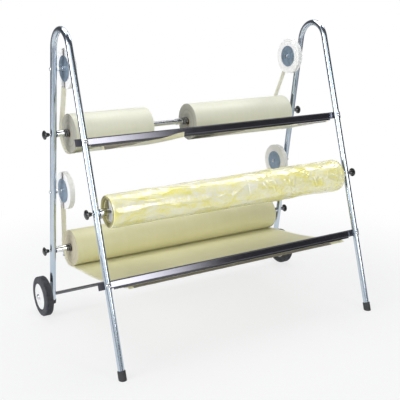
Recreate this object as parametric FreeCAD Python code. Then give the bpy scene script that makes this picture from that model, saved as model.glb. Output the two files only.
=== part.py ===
import FreeCAD, Part
import math
import os

# A masking paper dispenser: two leaning tube frames joined by three rods, two cutter rails and an axle.
# Millimetres. X runs along the rolls, -Y is the front, +Z is up, and the floor is z = 0.
Vec = FreeCAD.Vector
TAU = 2 * math.pi

# Overall sizes
FRAME_HEIGHT = 1086.0
BASE_DEPTH = 701.0
LOWER_PAPER_WIDTH = 914.0
LOWER_LEFT_SPACE = 59.9
LOWER_RIGHT_SPACE = 53.9
ARCH_RADIUS = 72.2
ARCH_Y = 57.5

# Frame tube
TUBE_R = 11.1
TUBE_WALL = 1.2
SLEEVE_GAP = 0.1
ARCH_JOINT_ANGLE = 130.0
ARCH_PLUG_ANGLE = 24.0
REAR_LEG_TAIL = 36.0

# Feet and caps
FOOT_WALL = 2.4
FOOT_LENGTH = 30.0
FOOT_FLOOR = 6.0
CAP_WALL = 1.4
CAP_LENGTH = 15.0
CAP_FLOOR = 2.0

# Wheels
WHEEL_R = 76.0
WHEEL_WIDTH = 33.0
WHEEL_GAP = 10.5
TYRE_SHOULDER = 6.0
TYRE_GROOVES = 3
TYRE_GROOVE_R = 1.3
RIM_R = 50.0
RIM_WALL = 5.0
RIM_INSET = 2.0
HUB_BOSS_R = 15.0
HUB_BOSS_STANDOUT = 0.5
HUB_WEB = 5.0
HUB_WEB_INSET = 4.0
AXLE_R = 6.35
AXLE_GAP = 0.06
AXLE_OVERHANG = 6.5
SPACER_WALL = 3.0
PUSH_NUT_R = 11.0
PUSH_NUT_LENGTH = 8.0

# Heights of what the legs carry
UPPER_ROD_Z = 711.5
LOWER_ROD_Z = 262.0
FILM_ROD_Z = 512.0
UPPER_RAIL_Z = 731.5
LOWER_RAIL_Z = 289.5
UPPER_TAPE_Z = 940.0
LOWER_TAPE_Z = 495.0

# Rods and their screw knobs
ROD_R = 9.525
ROD_WALL = 1.5
END_GAP = 0.3
PLUG_LENGTH = 32.0
THREAD_R = 4.0
THREAD_GAP = 0.05
HOLE_GAP = 0.3
STUD_IN_PLUG = 24.0
STUD_IN_KNOB = 18.0
KNOB_STANDOFF = 4.5
KNOB_NECK_R = 5.8
KNOB_BASE_R = 8.5
KNOB_NECK_LENGTH = 13.0
KNOB_RIM_R = 16.0
KNOB_RIM_LENGTH = 6.0
KNOB_DOME = 5.0
KNOB_FLUTES = 12
KNOB_FLUTE_R = 2.4

# Collars and springs on the rods
COLLAR_WALL = 2.6
COLLAR_GAP = 0.08
COLLAR_LENGTH = 23.5
LONG_COLLAR_LENGTH = 38.0
MIDDLE_COLLAR_LENGTH = 22.0
MIDDLE_SPRING_SPACE = 28.0
SCREW_R = 3.0
SCREW_HEAD_R = 4.5
SCREW_HEAD = 4.0
THUMB_SCREW_REACH = 14.0
THUMB_SCREW_INSET = 8.0
SCREW_REACH = 3.0
WIRE_R = 1.2
SPRING_GAP = 0.5
SPRING_FLARE = 3.0
SPRING_TURNS = 2.75
SPRING_LEAST_GAP = 0.4
GAP_SAMPLES = 12

# Paper rolls
UPPER_LEFT_PAPER_WIDTH = 305.0
UPPER_RIGHT_PAPER_WIDTH = 457.0
UPPER_LEFT_SPACE = 46.9
UPPER_RIGHT_SPACE = 38.9
UPPER_LEFT_PAPER_R = 70.0
UPPER_RIGHT_PAPER_R = 69.0
LOWER_PAPER_R = 68.0
PAPER_CORE_BORE_R = 13.0
PAPER_CORE_WALL = 3.0
RUNNING_GAP = 0.3

# Film roll
FILM_LEFT_SPACE = 25.9
FILM_RIGHT_SPACE = 43.9
FILM_R = 57.0
FILM_CORE_BORE_R = 38.0
FILM_CORE_WALL = 4.0
FILM_CORE_RECESS = 10.0
ADAPTER_PLATE = 3.0
ADAPTER_INSET = 4.0
ADAPTER_FIT = 0.1
ADAPTER_HUB_WALL = 4.4
ADAPTER_HUB_LENGTH = 18.0
ADAPTER_WAIST = 9.0
ADAPTER_LOBE = 17.0

# Cutter rails
RAIL_OVERHANG = 28.0
RAIL_HEIGHT = 24.5
RAIL_THICKNESS = 1.8
RAIL_FLANGE = 9.0
BLADE_INSET = 25.0
BLADE_THICKNESS = 0.8
BLADE_HEIGHT = 15.0
BLADE_DROP = 6.0
TOOTH_PITCH = 5.0
TOOTH_DEPTH = 2.0
BOLT_R = 4.0
BOLT_GAP = 0.1
BOLT_HEAD_R = 8.0
BOLT_HEAD = 4.0
BOLT_TAIL = 3.0
NUT_ACROSS_FLATS = 13.0
NUT_HEIGHT = 6.5

# Tape reels on the rear legs
TAPE_SPACE = 38.0
TAPE_WIDTH = 18.9
TAPE_R = 68.5
TAPE_CORE_BORE_R = 38.1
TAPE_CORE_WALL = 2.4
TAPE_FIT = 0.2
TAPE_PLATE = 1.5
OUTER_PLATE_LIP = 5.9
INNER_PLATE_LIP = 2.9
DOME_HEAD = 4.0
DOME_HEAD_R = 6.5
STRIP_WIDTH = 5.5
STRIP_THICKNESS = 0.8
STRIP_LENGTH = 134.0

# Paper webs and tape strips
WEB_THICKNESS = 0.8
WEB_WRAP = 20.0
WEB_PAST_BLADE = 5.0
TAPE_THICKNESS = 0.5
SHEET_GAP = 0.3
PEEL_ANGLE = -62.0
WRAP_STEP = 5.0
FLAP_STATIONS = 13

# Flaps past the blades: share of the web's width, length, degrees turned up from the web's own slope
UPPER_LEFT_FLAP = ((0.0, 14.0, -40.0), (0.35, 7.0, -25.0), (0.5, 7.0, 25.0), (1.0, 25.0, 72.0))
UPPER_RIGHT_FLAP = ((0.0, 12.0, 62.0), (0.12, 9.0, 20.0), (0.2, 9.0, -12.0), (1.0, 15.0, -30.0))
LOWER_FLAP = ((0.0, 12.0, -35.0), (0.5, 13.0, -28.0), (1.0, 16.0, -20.0))

# Places along X
SPAN = LOWER_LEFT_SPACE + LOWER_PAPER_WIDTH + LOWER_RIGHT_SPACE
LEG_INNER_X = SPAN / 2
LEG_X = LEG_INNER_X + TUBE_R
LEG_OUTER_X = LEG_X + TUBE_R
ROD_END_X = LEG_INNER_X - END_GAP
KNOB_X = LEG_OUTER_X + KNOB_STANDOFF
WHEEL_X = LEG_OUTER_X + WHEEL_GAP + WHEEL_WIDTH / 2
HUB_BOSS_HALF = WHEEL_WIDTH / 2 + HUB_BOSS_STANDOUT
LOWER_ENDS = (-LEG_INNER_X + LOWER_LEFT_SPACE, LEG_INNER_X - LOWER_RIGHT_SPACE)
UPPER_LEFT_X = -LEG_INNER_X + UPPER_LEFT_SPACE
UPPER_RIGHT_X = LEG_INNER_X - UPPER_RIGHT_SPACE
UPPER_LEFT_ENDS = (UPPER_LEFT_X, UPPER_LEFT_X + UPPER_LEFT_PAPER_WIDTH)
UPPER_RIGHT_ENDS = (UPPER_RIGHT_X - UPPER_RIGHT_PAPER_WIDTH, UPPER_RIGHT_X)
FILM_ENDS = (-LEG_INNER_X + FILM_LEFT_SPACE, LEG_INNER_X - FILM_RIGHT_SPACE)
TAPE_OUTER_X = LEG_X - TAPE_SPACE
TAPE_INNER_X = TAPE_OUTER_X - TAPE_WIDTH
SIDES = (("left", -1), ("right", 1))

# Fits that several pieces share
FOOT_R = TUBE_R + FOOT_WALL
OUTER_PLATE_R = TAPE_CORE_BORE_R + OUTER_PLATE_LIP
INNER_PLATE_R = TAPE_CORE_BORE_R + INNER_PLATE_LIP
ROD_BORE_R = ROD_R - ROD_WALL
COLLAR_R = ROD_R + COLLAR_WALL
THREADED_R = THREAD_R - THREAD_GAP
PAPER_SAG = PAPER_CORE_BORE_R - ROD_R - RUNNING_GAP
ARCH_Z = FRAME_HEIGHT - TUBE_R - ARCH_RADIUS


def save(name, *solids):
    shape = solids[0] if len(solids) == 1 else Part.makeCompound(list(solids))
    shape.exportStep(os.path.join("parts", name + ".step"))
    volume = sum(solid.Volume for solid in shape.Solids)
    print(f"{name}: {len(shape.Solids)} solids, {volume:.0f} mm3, valid {shape.isValid()}")


# Shapes along X
def rod_x(x0, x1, y, z, radius):
    return Part.makeCylinder(radius, abs(x1 - x0), Vec(min(x0, x1), y, z), Vec(1, 0, 0))


def ring_x(x0, x1, y, z, outer, inner):
    bore = rod_x(min(x0, x1) - 1, max(x0, x1) + 1, y, z, inner)
    return rod_x(x0, x1, y, z, outer).cut(bore)


def turned_x(profile, y, z):
    corners = [Vec(x, 0, radius) for x, radius in profile]
    face = Part.Face(Part.makePolygon(corners + [corners[0]]))
    solid = face.revolve(Vec(0, 0, 0), Vec(1, 0, 0), 360)
    solid.translate(Vec(0, y, z))
    return solid


def turned_z(profile):
    corners = [Vec(radius, 0, z) for radius, z in profile]
    face = Part.Face(Part.makePolygon(corners + [corners[0]]))
    return face.revolve(Vec(0, 0, 0), Vec(0, 0, 1), 360)


def hex_nut(base, axis):
    corner_r = NUT_ACROSS_FLATS / math.sqrt(3)
    corners = [Vec(corner_r * math.cos(TAU * i / 6), corner_r * math.sin(TAU * i / 6), 0) for i in range(7)]
    nut = Part.Face(Part.makePolygon(corners)).extrude(Vec(0, 0, NUT_HEIGHT))
    half_flats = NUT_ACROSS_FLATS / 2
    nut = nut.common(Part.makeCone(half_flats + NUT_HEIGHT, half_flats, NUT_HEIGHT))
    nut = nut.cut(Part.makeCylinder(BOLT_R, NUT_HEIGHT + 2, Vec(0, 0, -1)))
    nut.Placement = FreeCAD.Placement(base, FreeCAD.Rotation(Vec(0, 0, 1), axis))
    return nut


# A leg's line, from a point near the floor to where it meets the arch's circle
class LegLine:
    def __init__(self, y, z, side):
        reach = math.hypot(ARCH_Y - y, ARCH_Z - z)
        angle = math.atan2(ARCH_Z - z, ARCH_Y - y) - side * math.asin(ARCH_RADIUS / reach)
        self.y = y
        self.z = z
        self.dy = math.cos(angle)
        self.dz = math.sin(angle)
        self.length = math.sqrt(reach ** 2 - ARCH_RADIUS ** 2)
        self.arch_angle = math.degrees(angle) - side * 90

    def y_at(self, z):
        return self.y + (z - self.z) * self.dy / self.dz

    def along(self, x, distance):
        return Vec(x, self.y + distance * self.dy, self.z + distance * self.dz)

    # Seats a shape made around the origin, +Z up the leg and +Y behind it, at height z on the leg
    def seat(self, shape, x, z):
        lean = math.degrees(math.atan2(self.dy, self.dz))
        shape.Placement = FreeCAD.Placement(Vec(x, self.y_at(z), z), FreeCAD.Rotation(Vec(1, 0, 0), -lean))
        return shape

    def point(self, x, z, behind, up):
        return Vec(x, self.y_at(z) + behind * self.dz + up * self.dy, z - behind * self.dy + up * self.dz)

    def behind(self):
        return Vec(0, self.dz, -self.dy)


FRONT = LegLine(-BASE_DEPTH / 2 + 1.05 * FOOT_R, 0.0, -1)
REAR = LegLine(BASE_DEPTH / 2 - WHEEL_R, WHEEL_R, 1)
UPPER_ROD = (REAR.y_at(UPPER_ROD_Z), UPPER_ROD_Z)
LOWER_ROD = (REAR.y_at(LOWER_ROD_Z), LOWER_ROD_Z)
FILM_ROD = (FRONT.y_at(FILM_ROD_Z), FILM_ROD_Z)
RODS = (("upper", UPPER_ROD), ("lower", LOWER_ROD), ("film", FILM_ROD))
AXLE = (REAR.y, WHEEL_R)
REELS = (("upper", REAR.y_at(UPPER_TAPE_Z), UPPER_TAPE_Z), ("lower", REAR.y_at(LOWER_TAPE_Z), LOWER_TAPE_Z))
RAILS = (("upper", UPPER_RAIL_Z), ("lower", LOWER_RAIL_Z))


# The two bent tubes of each side frame
def arch_point(x, degrees):
    angle = math.radians(degrees)
    return Vec(x, ARCH_Y + ARCH_RADIUS * math.cos(angle), ARCH_Z + ARCH_RADIUS * math.sin(angle))


def arch_edge(x, start, end):
    return Part.Arc(arch_point(x, start), arch_point(x, (start + end) / 2), arch_point(x, end)).toShape()


def swept(edges, radius, direction):
    path = Part.Wire(edges)
    ring = Part.Wire(Part.makeCircle(radius, edges[0].Vertexes[0].Point, direction))
    return path.makePipeShell([ring], True, False)


def leg_sweep(leg, x, start, arch_end, radius):
    straight = Part.makeLine(leg.along(x, start), leg.along(x, leg.length))
    return swept([straight, arch_edge(x, leg.arch_angle, arch_end)], radius, Vec(0, leg.dy, leg.dz))


def arch_sweep(x, start, end, radius):
    angle = math.radians(start)
    return swept([arch_edge(x, start, end)], radius, Vec(0, -math.sin(angle), math.cos(angle)))


def cross_hole(x, y, z, radius):
    return rod_x(x - 2 * TUBE_R, x + 2 * TUBE_R, y, z, radius)


def rail_hole(x, z):
    hole = Part.makeCylinder(BOLT_R + BOLT_GAP, 6 * TUBE_R, Vec(0, -3 * TUBE_R, 0), Vec(0, 1, 0))
    return FRONT.seat(hole, x, z)


def front_leg(x):
    tube = leg_sweep(FRONT, x, FOOT_FLOOR, ARCH_JOINT_ANGLE, TUBE_R)
    tube = tube.cut(leg_sweep(FRONT, x, FOOT_FLOOR - 1, ARCH_JOINT_ANGLE - 1, TUBE_R - TUBE_WALL))
    tube = tube.cut(cross_hole(x, *FILM_ROD, THREAD_R + HOLE_GAP))
    for name, z in RAILS:
        tube = tube.cut(rail_hole(x, z))
    return tube


# The rear tube goes over the top, and its narrowed end plugs into the front tube
def rear_leg(x):
    plug_r = TUBE_R - TUBE_WALL - SLEEVE_GAP
    plug_end = ARCH_JOINT_ANGLE + ARCH_PLUG_ANGLE
    tube = leg_sweep(REAR, x, -REAR_LEG_TAIL, ARCH_JOINT_ANGLE, TUBE_R)
    tube = tube.fuse(arch_sweep(x, ARCH_JOINT_ANGLE - 2, plug_end, plug_r))
    tube = tube.cut(leg_sweep(REAR, x, -REAR_LEG_TAIL - 1, ARCH_JOINT_ANGLE - 3, TUBE_R - TUBE_WALL))
    tube = tube.cut(arch_sweep(x, ARCH_JOINT_ANGLE - 4, plug_end + 1, plug_r - TUBE_WALL))
    for rod in (UPPER_ROD, LOWER_ROD):
        tube = tube.cut(cross_hole(x, *rod, THREAD_R + HOLE_GAP))
    for name, y, z in REELS:
        tube = tube.cut(cross_hole(x, y, z, BOLT_R + BOLT_GAP))
    return tube.cut(cross_hole(x, *AXLE, AXLE_R + AXLE_GAP))


def front_foot(x):
    profile = [(0, -FOOT_R), (FOOT_R, -FOOT_R), (FOOT_R, FOOT_LENGTH - 2), (FOOT_R - 1, FOOT_LENGTH),
               (TUBE_R, FOOT_LENGTH), (TUBE_R, FOOT_FLOOR), (0, FOOT_FLOOR)]
    foot = FRONT.seat(turned_z(profile), x, 0)
    side = 4 * FOOT_R
    below_floor = Part.makeBox(side, side, side, Vec(x - side / 2, FRONT.y - side / 2, -side))
    return foot.cut(below_floor)


def rear_cap(x):
    outer = TUBE_R + CAP_WALL
    low = -REAR_LEG_TAIL - CAP_FLOOR
    profile = [(0, low), (outer - 1, low), (outer, low + 1), (outer, low + CAP_LENGTH),
               (TUBE_R, low + CAP_LENGTH), (TUBE_R, -REAR_LEG_TAIL), (0, -REAR_LEG_TAIL)]
    return REAR.seat(turned_z(profile), x, WHEEL_R)


# Axle and wheels
def tyre(side):
    half = WHEEL_WIDTH / 2
    centre = side * WHEEL_X
    solid = ring_x(centre - half, centre + half, *AXLE, WHEEL_R, RIM_R)
    rims = [edge for edge in solid.Edges if len(edge.Vertexes) == 1 and edge.Curve.Radius > RIM_R + 1]
    solid = solid.makeFillet(min(TYRE_SHOULDER, half - 1), rims)
    for i in range(TYRE_GROOVES):
        x = centre + (i - (TYRE_GROOVES - 1) / 2) * WHEEL_WIDTH / (TYRE_GROOVES + 1)
        groove = Part.makeTorus(WHEEL_R, TYRE_GROOVE_R, Vec(x, *AXLE), Vec(1, 0, 0))
        solid = solid.cut(groove)
    return solid


def wheel_hub(side):
    rim_half = WHEEL_WIDTH / 2 - RIM_INSET
    web_out = rim_half - HUB_WEB_INSET
    web_in = web_out - HUB_WEB
    rim_bore = RIM_R - RIM_WALL
    bore = AXLE_R + AXLE_GAP
    profile = [(-HUB_BOSS_HALF, bore), (-HUB_BOSS_HALF, HUB_BOSS_R), (web_in, HUB_BOSS_R), (web_in, rim_bore),
               (-rim_half, rim_bore), (-rim_half, RIM_R), (rim_half, RIM_R), (rim_half, rim_bore),
               (web_out, rim_bore - HUB_WEB_INSET), (web_out, HUB_BOSS_R), (HUB_BOSS_HALF, HUB_BOSS_R),
               (HUB_BOSS_HALF, bore)]
    return turned_x([(side * (WHEEL_X + x), radius) for x, radius in profile], *AXLE)


def axle():
    half = WHEEL_X + WHEEL_WIDTH / 2 + AXLE_OVERHANG
    return rod_x(-half, half, *AXLE, AXLE_R)


def push_nut(side):
    start = WHEEL_X + HUB_BOSS_HALF + END_GAP
    end = start + PUSH_NUT_LENGTH
    axle_end = WHEEL_X + WHEEL_WIDTH / 2 + AXLE_OVERHANG
    profile = [(start, AXLE_R), (start, PUSH_NUT_R), (start + 2, PUSH_NUT_R), (end - 2, 0.75 * PUSH_NUT_R),
               (end, 0.35 * PUSH_NUT_R), (end, 0), (axle_end, 0), (axle_end, AXLE_R)]
    return turned_x([(side * x, radius) for x, radius in profile], *AXLE)


def wheel_spacer(side):
    end = WHEEL_X - HUB_BOSS_HALF - END_GAP
    return ring_x(side * (LEG_OUTER_X + END_GAP), side * end, *AXLE, AXLE_R + SPACER_WALL, AXLE_R)


# Rods with a threaded plug in each end
def spindle(rod):
    return ring_x(-ROD_END_X, ROD_END_X, *rod, ROD_R, ROD_BORE_R)


def spindle_plug(rod, side):
    return ring_x(side * (ROD_END_X - PLUG_LENGTH), side * ROD_END_X, *rod, ROD_BORE_R, THREAD_R)


# Screw knobs: a steel stud through the leg into the plug, and a round head on it
def knob_stud(rod, side):
    return rod_x(side * (ROD_END_X - STUD_IN_PLUG), side * (KNOB_X + STUD_IN_KNOB), *rod, THREADED_R)


def knob_head(rod, side):
    rim = KNOB_NECK_LENGTH
    dome = rim + KNOB_RIM_LENGTH
    end = dome + KNOB_DOME
    bottom = STUD_IN_KNOB + END_GAP
    profile = [(0, THREAD_R), (0, KNOB_NECK_R), (rim - 3, KNOB_BASE_R), (rim, KNOB_RIM_R - 3),
               (rim + 2, KNOB_RIM_R), (dome, KNOB_RIM_R), (dome + 2, KNOB_RIM_R - 3),
               (end - 0.7, KNOB_RIM_R / 2), (end, 0), (bottom, 0), (bottom, THREAD_R)]
    head = turned_x([(side * (KNOB_X + x), radius) for x, radius in profile], *rod)
    for i in range(KNOB_FLUTES):
        angle = TAU * i / KNOB_FLUTES
        reach = KNOB_RIM_R + KNOB_FLUTE_R / 2
        y = rod[0] + reach * math.cos(angle)
        z = rod[1] + reach * math.sin(angle)
        head = head.cut(rod_x(side * KNOB_X, side * (KNOB_X + end), y, z, KNOB_FLUTE_R))
    return head


# Collars with their clamping screws
def collar(x0, x1, rod):
    return ring_x(x0, x1, *rod, COLLAR_R, ROD_R + COLLAR_GAP)


def collar_with_hole(x0, x1, rod, screw_x, direction):
    hole = Part.makeCylinder(SCREW_R, 2 * COLLAR_R, Vec(screw_x, *rod), direction)
    return collar(x0, x1, rod).cut(hole)


def collar_screw(rod, x, direction, reach):
    inner = ROD_R + COLLAR_GAP
    start = Vec(x, *rod) + direction * inner
    neck = COLLAR_R - inner + reach
    shank = Part.makeCylinder(SCREW_R, neck, start, direction)
    head = Part.makeCylinder(SCREW_HEAD_R, SCREW_HEAD, start + direction * neck, direction)
    return shank.fuse(head)


# End collars as (start, end, rod, screw place, screw direction, screw reach)
def end_collar_list():
    down = Vec(0, 0, -1)
    back = Vec(0, 1, 0)
    left = -ROD_END_X
    short_end = left + COLLAR_LENGTH
    long_end = left + LONG_COLLAR_LENGTH
    upper_right = UPPER_RIGHT_ENDS[1] + END_GAP
    lower_right = LOWER_ENDS[1] + END_GAP
    half = MIDDLE_COLLAR_LENGTH / 2
    return [(left, short_end, UPPER_ROD, left + COLLAR_LENGTH / 2, back, SCREW_REACH),
            (left, long_end, LOWER_ROD, long_end - THUMB_SCREW_INSET, down, THUMB_SCREW_REACH),
            (left, short_end, FILM_ROD, left + 2 * SCREW_R, down, SCREW_REACH),
            (-short_end, ROD_END_X, FILM_ROD, ROD_END_X - 2 * SCREW_R, down, SCREW_REACH),
            (upper_right, upper_right + 2 * half, UPPER_ROD, upper_right + half, back, SCREW_REACH),
            (lower_right, lower_right + 2 * half, LOWER_ROD, lower_right + half, back, SCREW_REACH)]


# A coil spring along X: straight ends, a bend into the coil at each end, and a coil that widens evenly
def coil_point(x0, x1, turns, small, large, share):
    angle = TAU * turns * share
    radius = small + (large - small) * share
    return Vec(x0 + (x1 - x0) * share, radius * math.cos(angle), radius * math.sin(angle))


def coil_tangent(x0, x1, turns, small, large, share):
    step = 1e-5
    ahead = coil_point(x0, x1, turns, small, large, share + step)
    tangent = ahead - coil_point(x0, x1, turns, small, large, share - step)
    return tangent.normalize()


# The middle of the arc that leaves start in one direction and ends at end
def arc_middle(start, direction, end):
    chord = end - start
    half = chord.Length / 2
    along = Vec(chord).normalize()
    across = direction - along * direction.dot(along)
    bend = math.acos(max(-1.0, min(1.0, direction.dot(along))))
    return (start + end) * 0.5 + across.normalize() * half * math.tan(bend / 2)


def biarc(start, start_dir, end, end_dir):
    gap = end - start
    both = start_dir + end_dir
    spread = 2 * (1 - start_dir.dot(end_dir))
    reach = (-gap.dot(both) + math.sqrt(gap.dot(both) ** 2 + spread * gap.dot(gap))) / spread
    joint = (start + start_dir * reach + end - end_dir * reach) * 0.5
    first = Part.Arc(start, arc_middle(start, start_dir, joint), joint)
    second = Part.Arc(joint, arc_middle(end, end_dir * -1, joint), end)
    return [first.toShape(), second.toShape()]


def spring_path(length, small, large):
    wire = 2 * WIRE_R
    x0 = 2 * wire
    x1 = length - 2 * wire
    steps = round(SPRING_TURNS * 4)
    points = [coil_point(x0, x1, SPRING_TURNS, small, large, i / steps) for i in range(steps + 1)]
    tangents = [coil_tangent(x0, x1, SPRING_TURNS, small, large, i / steps) for i in range(steps + 1)]
    before = points[0] - tangents[0] * wire
    after = points[-1] + tangents[-1] * wire
    axis = Vec(1, 0, 0)
    first = Vec(wire, before.y, before.z)
    last = Vec(length - wire, after.y, after.z)
    edges = [Part.makeLine(Vec(0, before.y, before.z), first)]
    edges += biarc(first, axis, points[0], tangents[0])
    for i in range(steps):
        edges += biarc(points[i], tangents[i], points[i + 1], tangents[i + 1])
    edges += biarc(points[-1], tangents[-1], last, axis)
    edges.append(Part.makeLine(last, Vec(length, after.y, after.z)))
    return edges


def least_gap(edges):
    points = []
    travelled = 0.0
    for edge in edges:
        for point in edge.discretize(GAP_SAMPLES)[1:]:
            travelled += edge.Length / (GAP_SAMPLES - 1)
            points.append((travelled, point))
    near = 4 * WIRE_R
    pairs = [(a, b) for i, a in enumerate(points) for b in points[i + 1:] if b[0] - a[0] > 2 * near]
    return min((a[1] - b[1]).Length for a, b in pairs) - 2 * WIRE_R


def spring(x0, x1, rod):
    small = ROD_R + SPRING_GAP + WIRE_R
    edges = spring_path(x1 - x0, small, small + SPRING_FLARE)
    solid = swept(edges, WIRE_R, Vec(1, 0, 0))
    gap = least_gap(edges)
    print(f"spring at {x0:.1f}: least gap to itself {gap:.2f} mm, needs {SPRING_LEAST_GAP}")
    solid.translate(Vec(x0, *rod))
    return solid


# Paper rolls hang on the rod by the top of their core's bore
def paper_centre(rod):
    return (rod[0], rod[1] - PAPER_SAG)


def paper_roll(ends, rod, radius):
    return ring_x(*ends, *paper_centre(rod), radius, PAPER_CORE_BORE_R + PAPER_CORE_WALL)


def paper_core(ends, rod):
    return ring_x(*ends, *paper_centre(rod), PAPER_CORE_BORE_R + PAPER_CORE_WALL, PAPER_CORE_BORE_R)


# The film roll turns on two lobed adapters in its wide core
def film_winding():
    return ring_x(*FILM_ENDS, *FILM_ROD, FILM_R, FILM_CORE_BORE_R + FILM_CORE_WALL)


def film_core_ends():
    return (FILM_ENDS[0] + FILM_CORE_RECESS, FILM_ENDS[1] - FILM_CORE_RECESS)


def film_core():
    return ring_x(*film_core_ends(), *FILM_ROD, FILM_CORE_BORE_R + FILM_CORE_WALL, FILM_CORE_BORE_R)


def film_adapter(side):
    outer_x = side * (abs(film_core_ends()[(side + 1) // 2]) - ADAPTER_INSET)
    inner_x = outer_x - side * ADAPTER_PLATE
    reach = FILM_CORE_BORE_R
    corners = [(-ADAPTER_LOBE, -reach), (ADAPTER_LOBE, -reach), (ADAPTER_WAIST, 0), (ADAPTER_LOBE, reach),
               (-ADAPTER_LOBE, reach), (-ADAPTER_WAIST, 0), (-ADAPTER_LOBE, -reach)]
    low_x = min(outer_x, inner_x)
    outline = [Vec(low_x, FILM_ROD[0] + y, FILM_ROD[1] + z) for y, z in corners]
    lobes = Part.Face(Part.makePolygon(outline)).extrude(Vec(ADAPTER_PLATE, 0, 0))
    lobes = lobes.common(rod_x(outer_x, inner_x, *FILM_ROD, FILM_CORE_BORE_R - ADAPTER_FIT))
    hub = rod_x(outer_x, inner_x - side * ADAPTER_HUB_LENGTH, *FILM_ROD, ROD_R + ADAPTER_HUB_WALL)
    bore = rod_x(outer_x + side, inner_x - side * (ADAPTER_HUB_LENGTH + 1), *FILM_ROD, ROD_R + COLLAR_GAP)
    return lobes.fuse(hub).cut(bore)


# Cutter rails: an angle strip behind the front legs, with a toothed blade along its lower edge
def rail(z):
    half = LEG_X + RAIL_OVERHANG
    low = -RAIL_HEIGHT / 2
    plate = Part.makeBox(2 * half, RAIL_THICKNESS, RAIL_HEIGHT, Vec(-half, TUBE_R, low))
    flange = Part.makeBox(2 * half, RAIL_FLANGE, RAIL_THICKNESS, Vec(-half, TUBE_R, -low - RAIL_THICKNESS))
    solid = FRONT.seat(plate.fuse(flange), 0, z)
    for name, side in SIDES:
        solid = solid.cut(rail_hole(side * LEG_X, z))
    return solid


def blade(z):
    half = LEG_X - BLADE_INSET
    tip = -RAIL_HEIGHT / 2 - BLADE_DROP
    y = TUBE_R + RAIL_THICKNESS
    teeth = int(2 * half / TOOTH_PITCH)
    pitch = 2 * half / teeth
    corners = [Vec(-half, y, tip + BLADE_HEIGHT), Vec(-half, y, tip + TOOTH_DEPTH)]
    for i in range(teeth):
        corners.append(Vec(-half + (i + 0.5) * pitch, y, tip))
        corners.append(Vec(-half + (i + 1) * pitch, y, tip + TOOTH_DEPTH))
    corners.append(Vec(half, y, tip + BLADE_HEIGHT))
    strip = Part.Face(Part.makePolygon(corners + [corners[0]])).extrude(Vec(0, BLADE_THICKNESS, 0))
    return FRONT.seat(strip, 0, z)


def rail_bolt(x, z):
    shank_end = TUBE_R + RAIL_THICKNESS + NUT_HEIGHT + BOLT_TAIL
    shank = Part.makeCylinder(BOLT_R, shank_end + TUBE_R, Vec(0, -TUBE_R, 0), Vec(0, 1, 0))
    dome_r = (BOLT_HEAD_R ** 2 + BOLT_HEAD ** 2) / (2 * BOLT_HEAD)
    dome = Part.makeSphere(dome_r, Vec(0, -TUBE_R - BOLT_HEAD + dome_r, 0))
    head = dome.common(Part.makeCylinder(BOLT_HEAD_R, BOLT_HEAD, Vec(0, -TUBE_R, 0), Vec(0, -1, 0)))
    return FRONT.seat(shank.fuse(head), x, z)


def rail_nut(x, z):
    return hex_nut(FRONT.point(x, z, TUBE_R + RAIL_THICKNESS, 0), FRONT.behind())


# Tape reels: a hub drum clamped between two plates, on a bolt through the rear leg
STRIP_OUT_X = TAPE_OUTER_X + END_GAP + STRIP_THICKNESS
PLATE_OUT_X = STRIP_OUT_X + TAPE_PLATE
DRUM_IN_X = TAPE_INNER_X - END_GAP
PLATE_IN_X = DRUM_IN_X - TAPE_PLATE


def tape(side, y, z):
    core_r = TAPE_CORE_BORE_R + TAPE_CORE_WALL
    winding = ring_x(side * TAPE_INNER_X, side * TAPE_OUTER_X, y, z, TAPE_R, core_r)
    core = ring_x(side * TAPE_INNER_X, side * TAPE_OUTER_X, y, z, core_r, TAPE_CORE_BORE_R)
    return [winding, core]


def tape_hub(side, y, z):
    drum_out = STRIP_OUT_X - STRIP_THICKNESS
    return ring_x(side * DRUM_IN_X, side * drum_out, y, z, TAPE_CORE_BORE_R - TAPE_FIT, BOLT_R + BOLT_GAP)


def outer_plate(side, y, z):
    return ring_x(side * STRIP_OUT_X, side * PLATE_OUT_X, y, z, OUTER_PLATE_R, BOLT_R + BOLT_GAP)


def inner_plate(side, y, z):
    return ring_x(side * PLATE_IN_X, side * DRUM_IN_X, y, z, INNER_PLATE_R, BOLT_R + BOLT_GAP)


def drag_strip(side, y, z):
    x0 = min(side * STRIP_OUT_X, side * (STRIP_OUT_X - STRIP_THICKNESS))
    corner = Vec(x0, y - STRIP_WIDTH / 2, z - STRIP_LENGTH / 2)
    bar = Part.makeBox(STRIP_THICKNESS, STRIP_WIDTH, STRIP_LENGTH, corner)
    eye = rod_x(x0, x0 + STRIP_THICKNESS, y, z, BOLT_R + STRIP_WIDTH / 2)
    return bar.fuse(eye).cut(rod_x(x0 - 1, x0 + STRIP_THICKNESS + 1, y, z, BOLT_R + BOLT_GAP))


def tape_bolt(side, y, z):
    outer = LEG_OUTER_X + END_GAP
    shank = rod_x(side * (PLATE_IN_X - NUT_HEIGHT - BOLT_TAIL), side * outer, y, z, BOLT_R)
    shares = [(0, 0), (0, 1), (0.3, 0.94), (0.7, 0.64), (1, 0.2), (1, 0)]
    profile = [(side * (outer + DOME_HEAD * along), DOME_HEAD_R * out) for along, out in shares]
    return shank.fuse(turned_x(profile, y, z))


def tape_nuts(side, y, z):
    outward = Vec(side, 0, 0)
    starts = (LEG_INNER_X - END_GAP - NUT_HEIGHT, PLATE_OUT_X, PLATE_IN_X - NUT_HEIGHT)
    return [hex_nut(Vec(side * start, y, z), outward) for start in starts]


# A tangent from a point outside a circle, turned by side: its direction and its length
def tangent_line(point, centre, radius, side):
    dy = centre[0] - point[0]
    dz = centre[1] - point[1]
    reach = math.hypot(dy, dz)
    return math.atan2(dz, dy) + side * math.asin(radius / reach), math.sqrt(reach ** 2 - radius ** 2)


def on_circle(centre, radius, angle):
    return (centre[0] + radius * math.cos(angle), centre[1] + radius * math.sin(angle))


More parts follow.
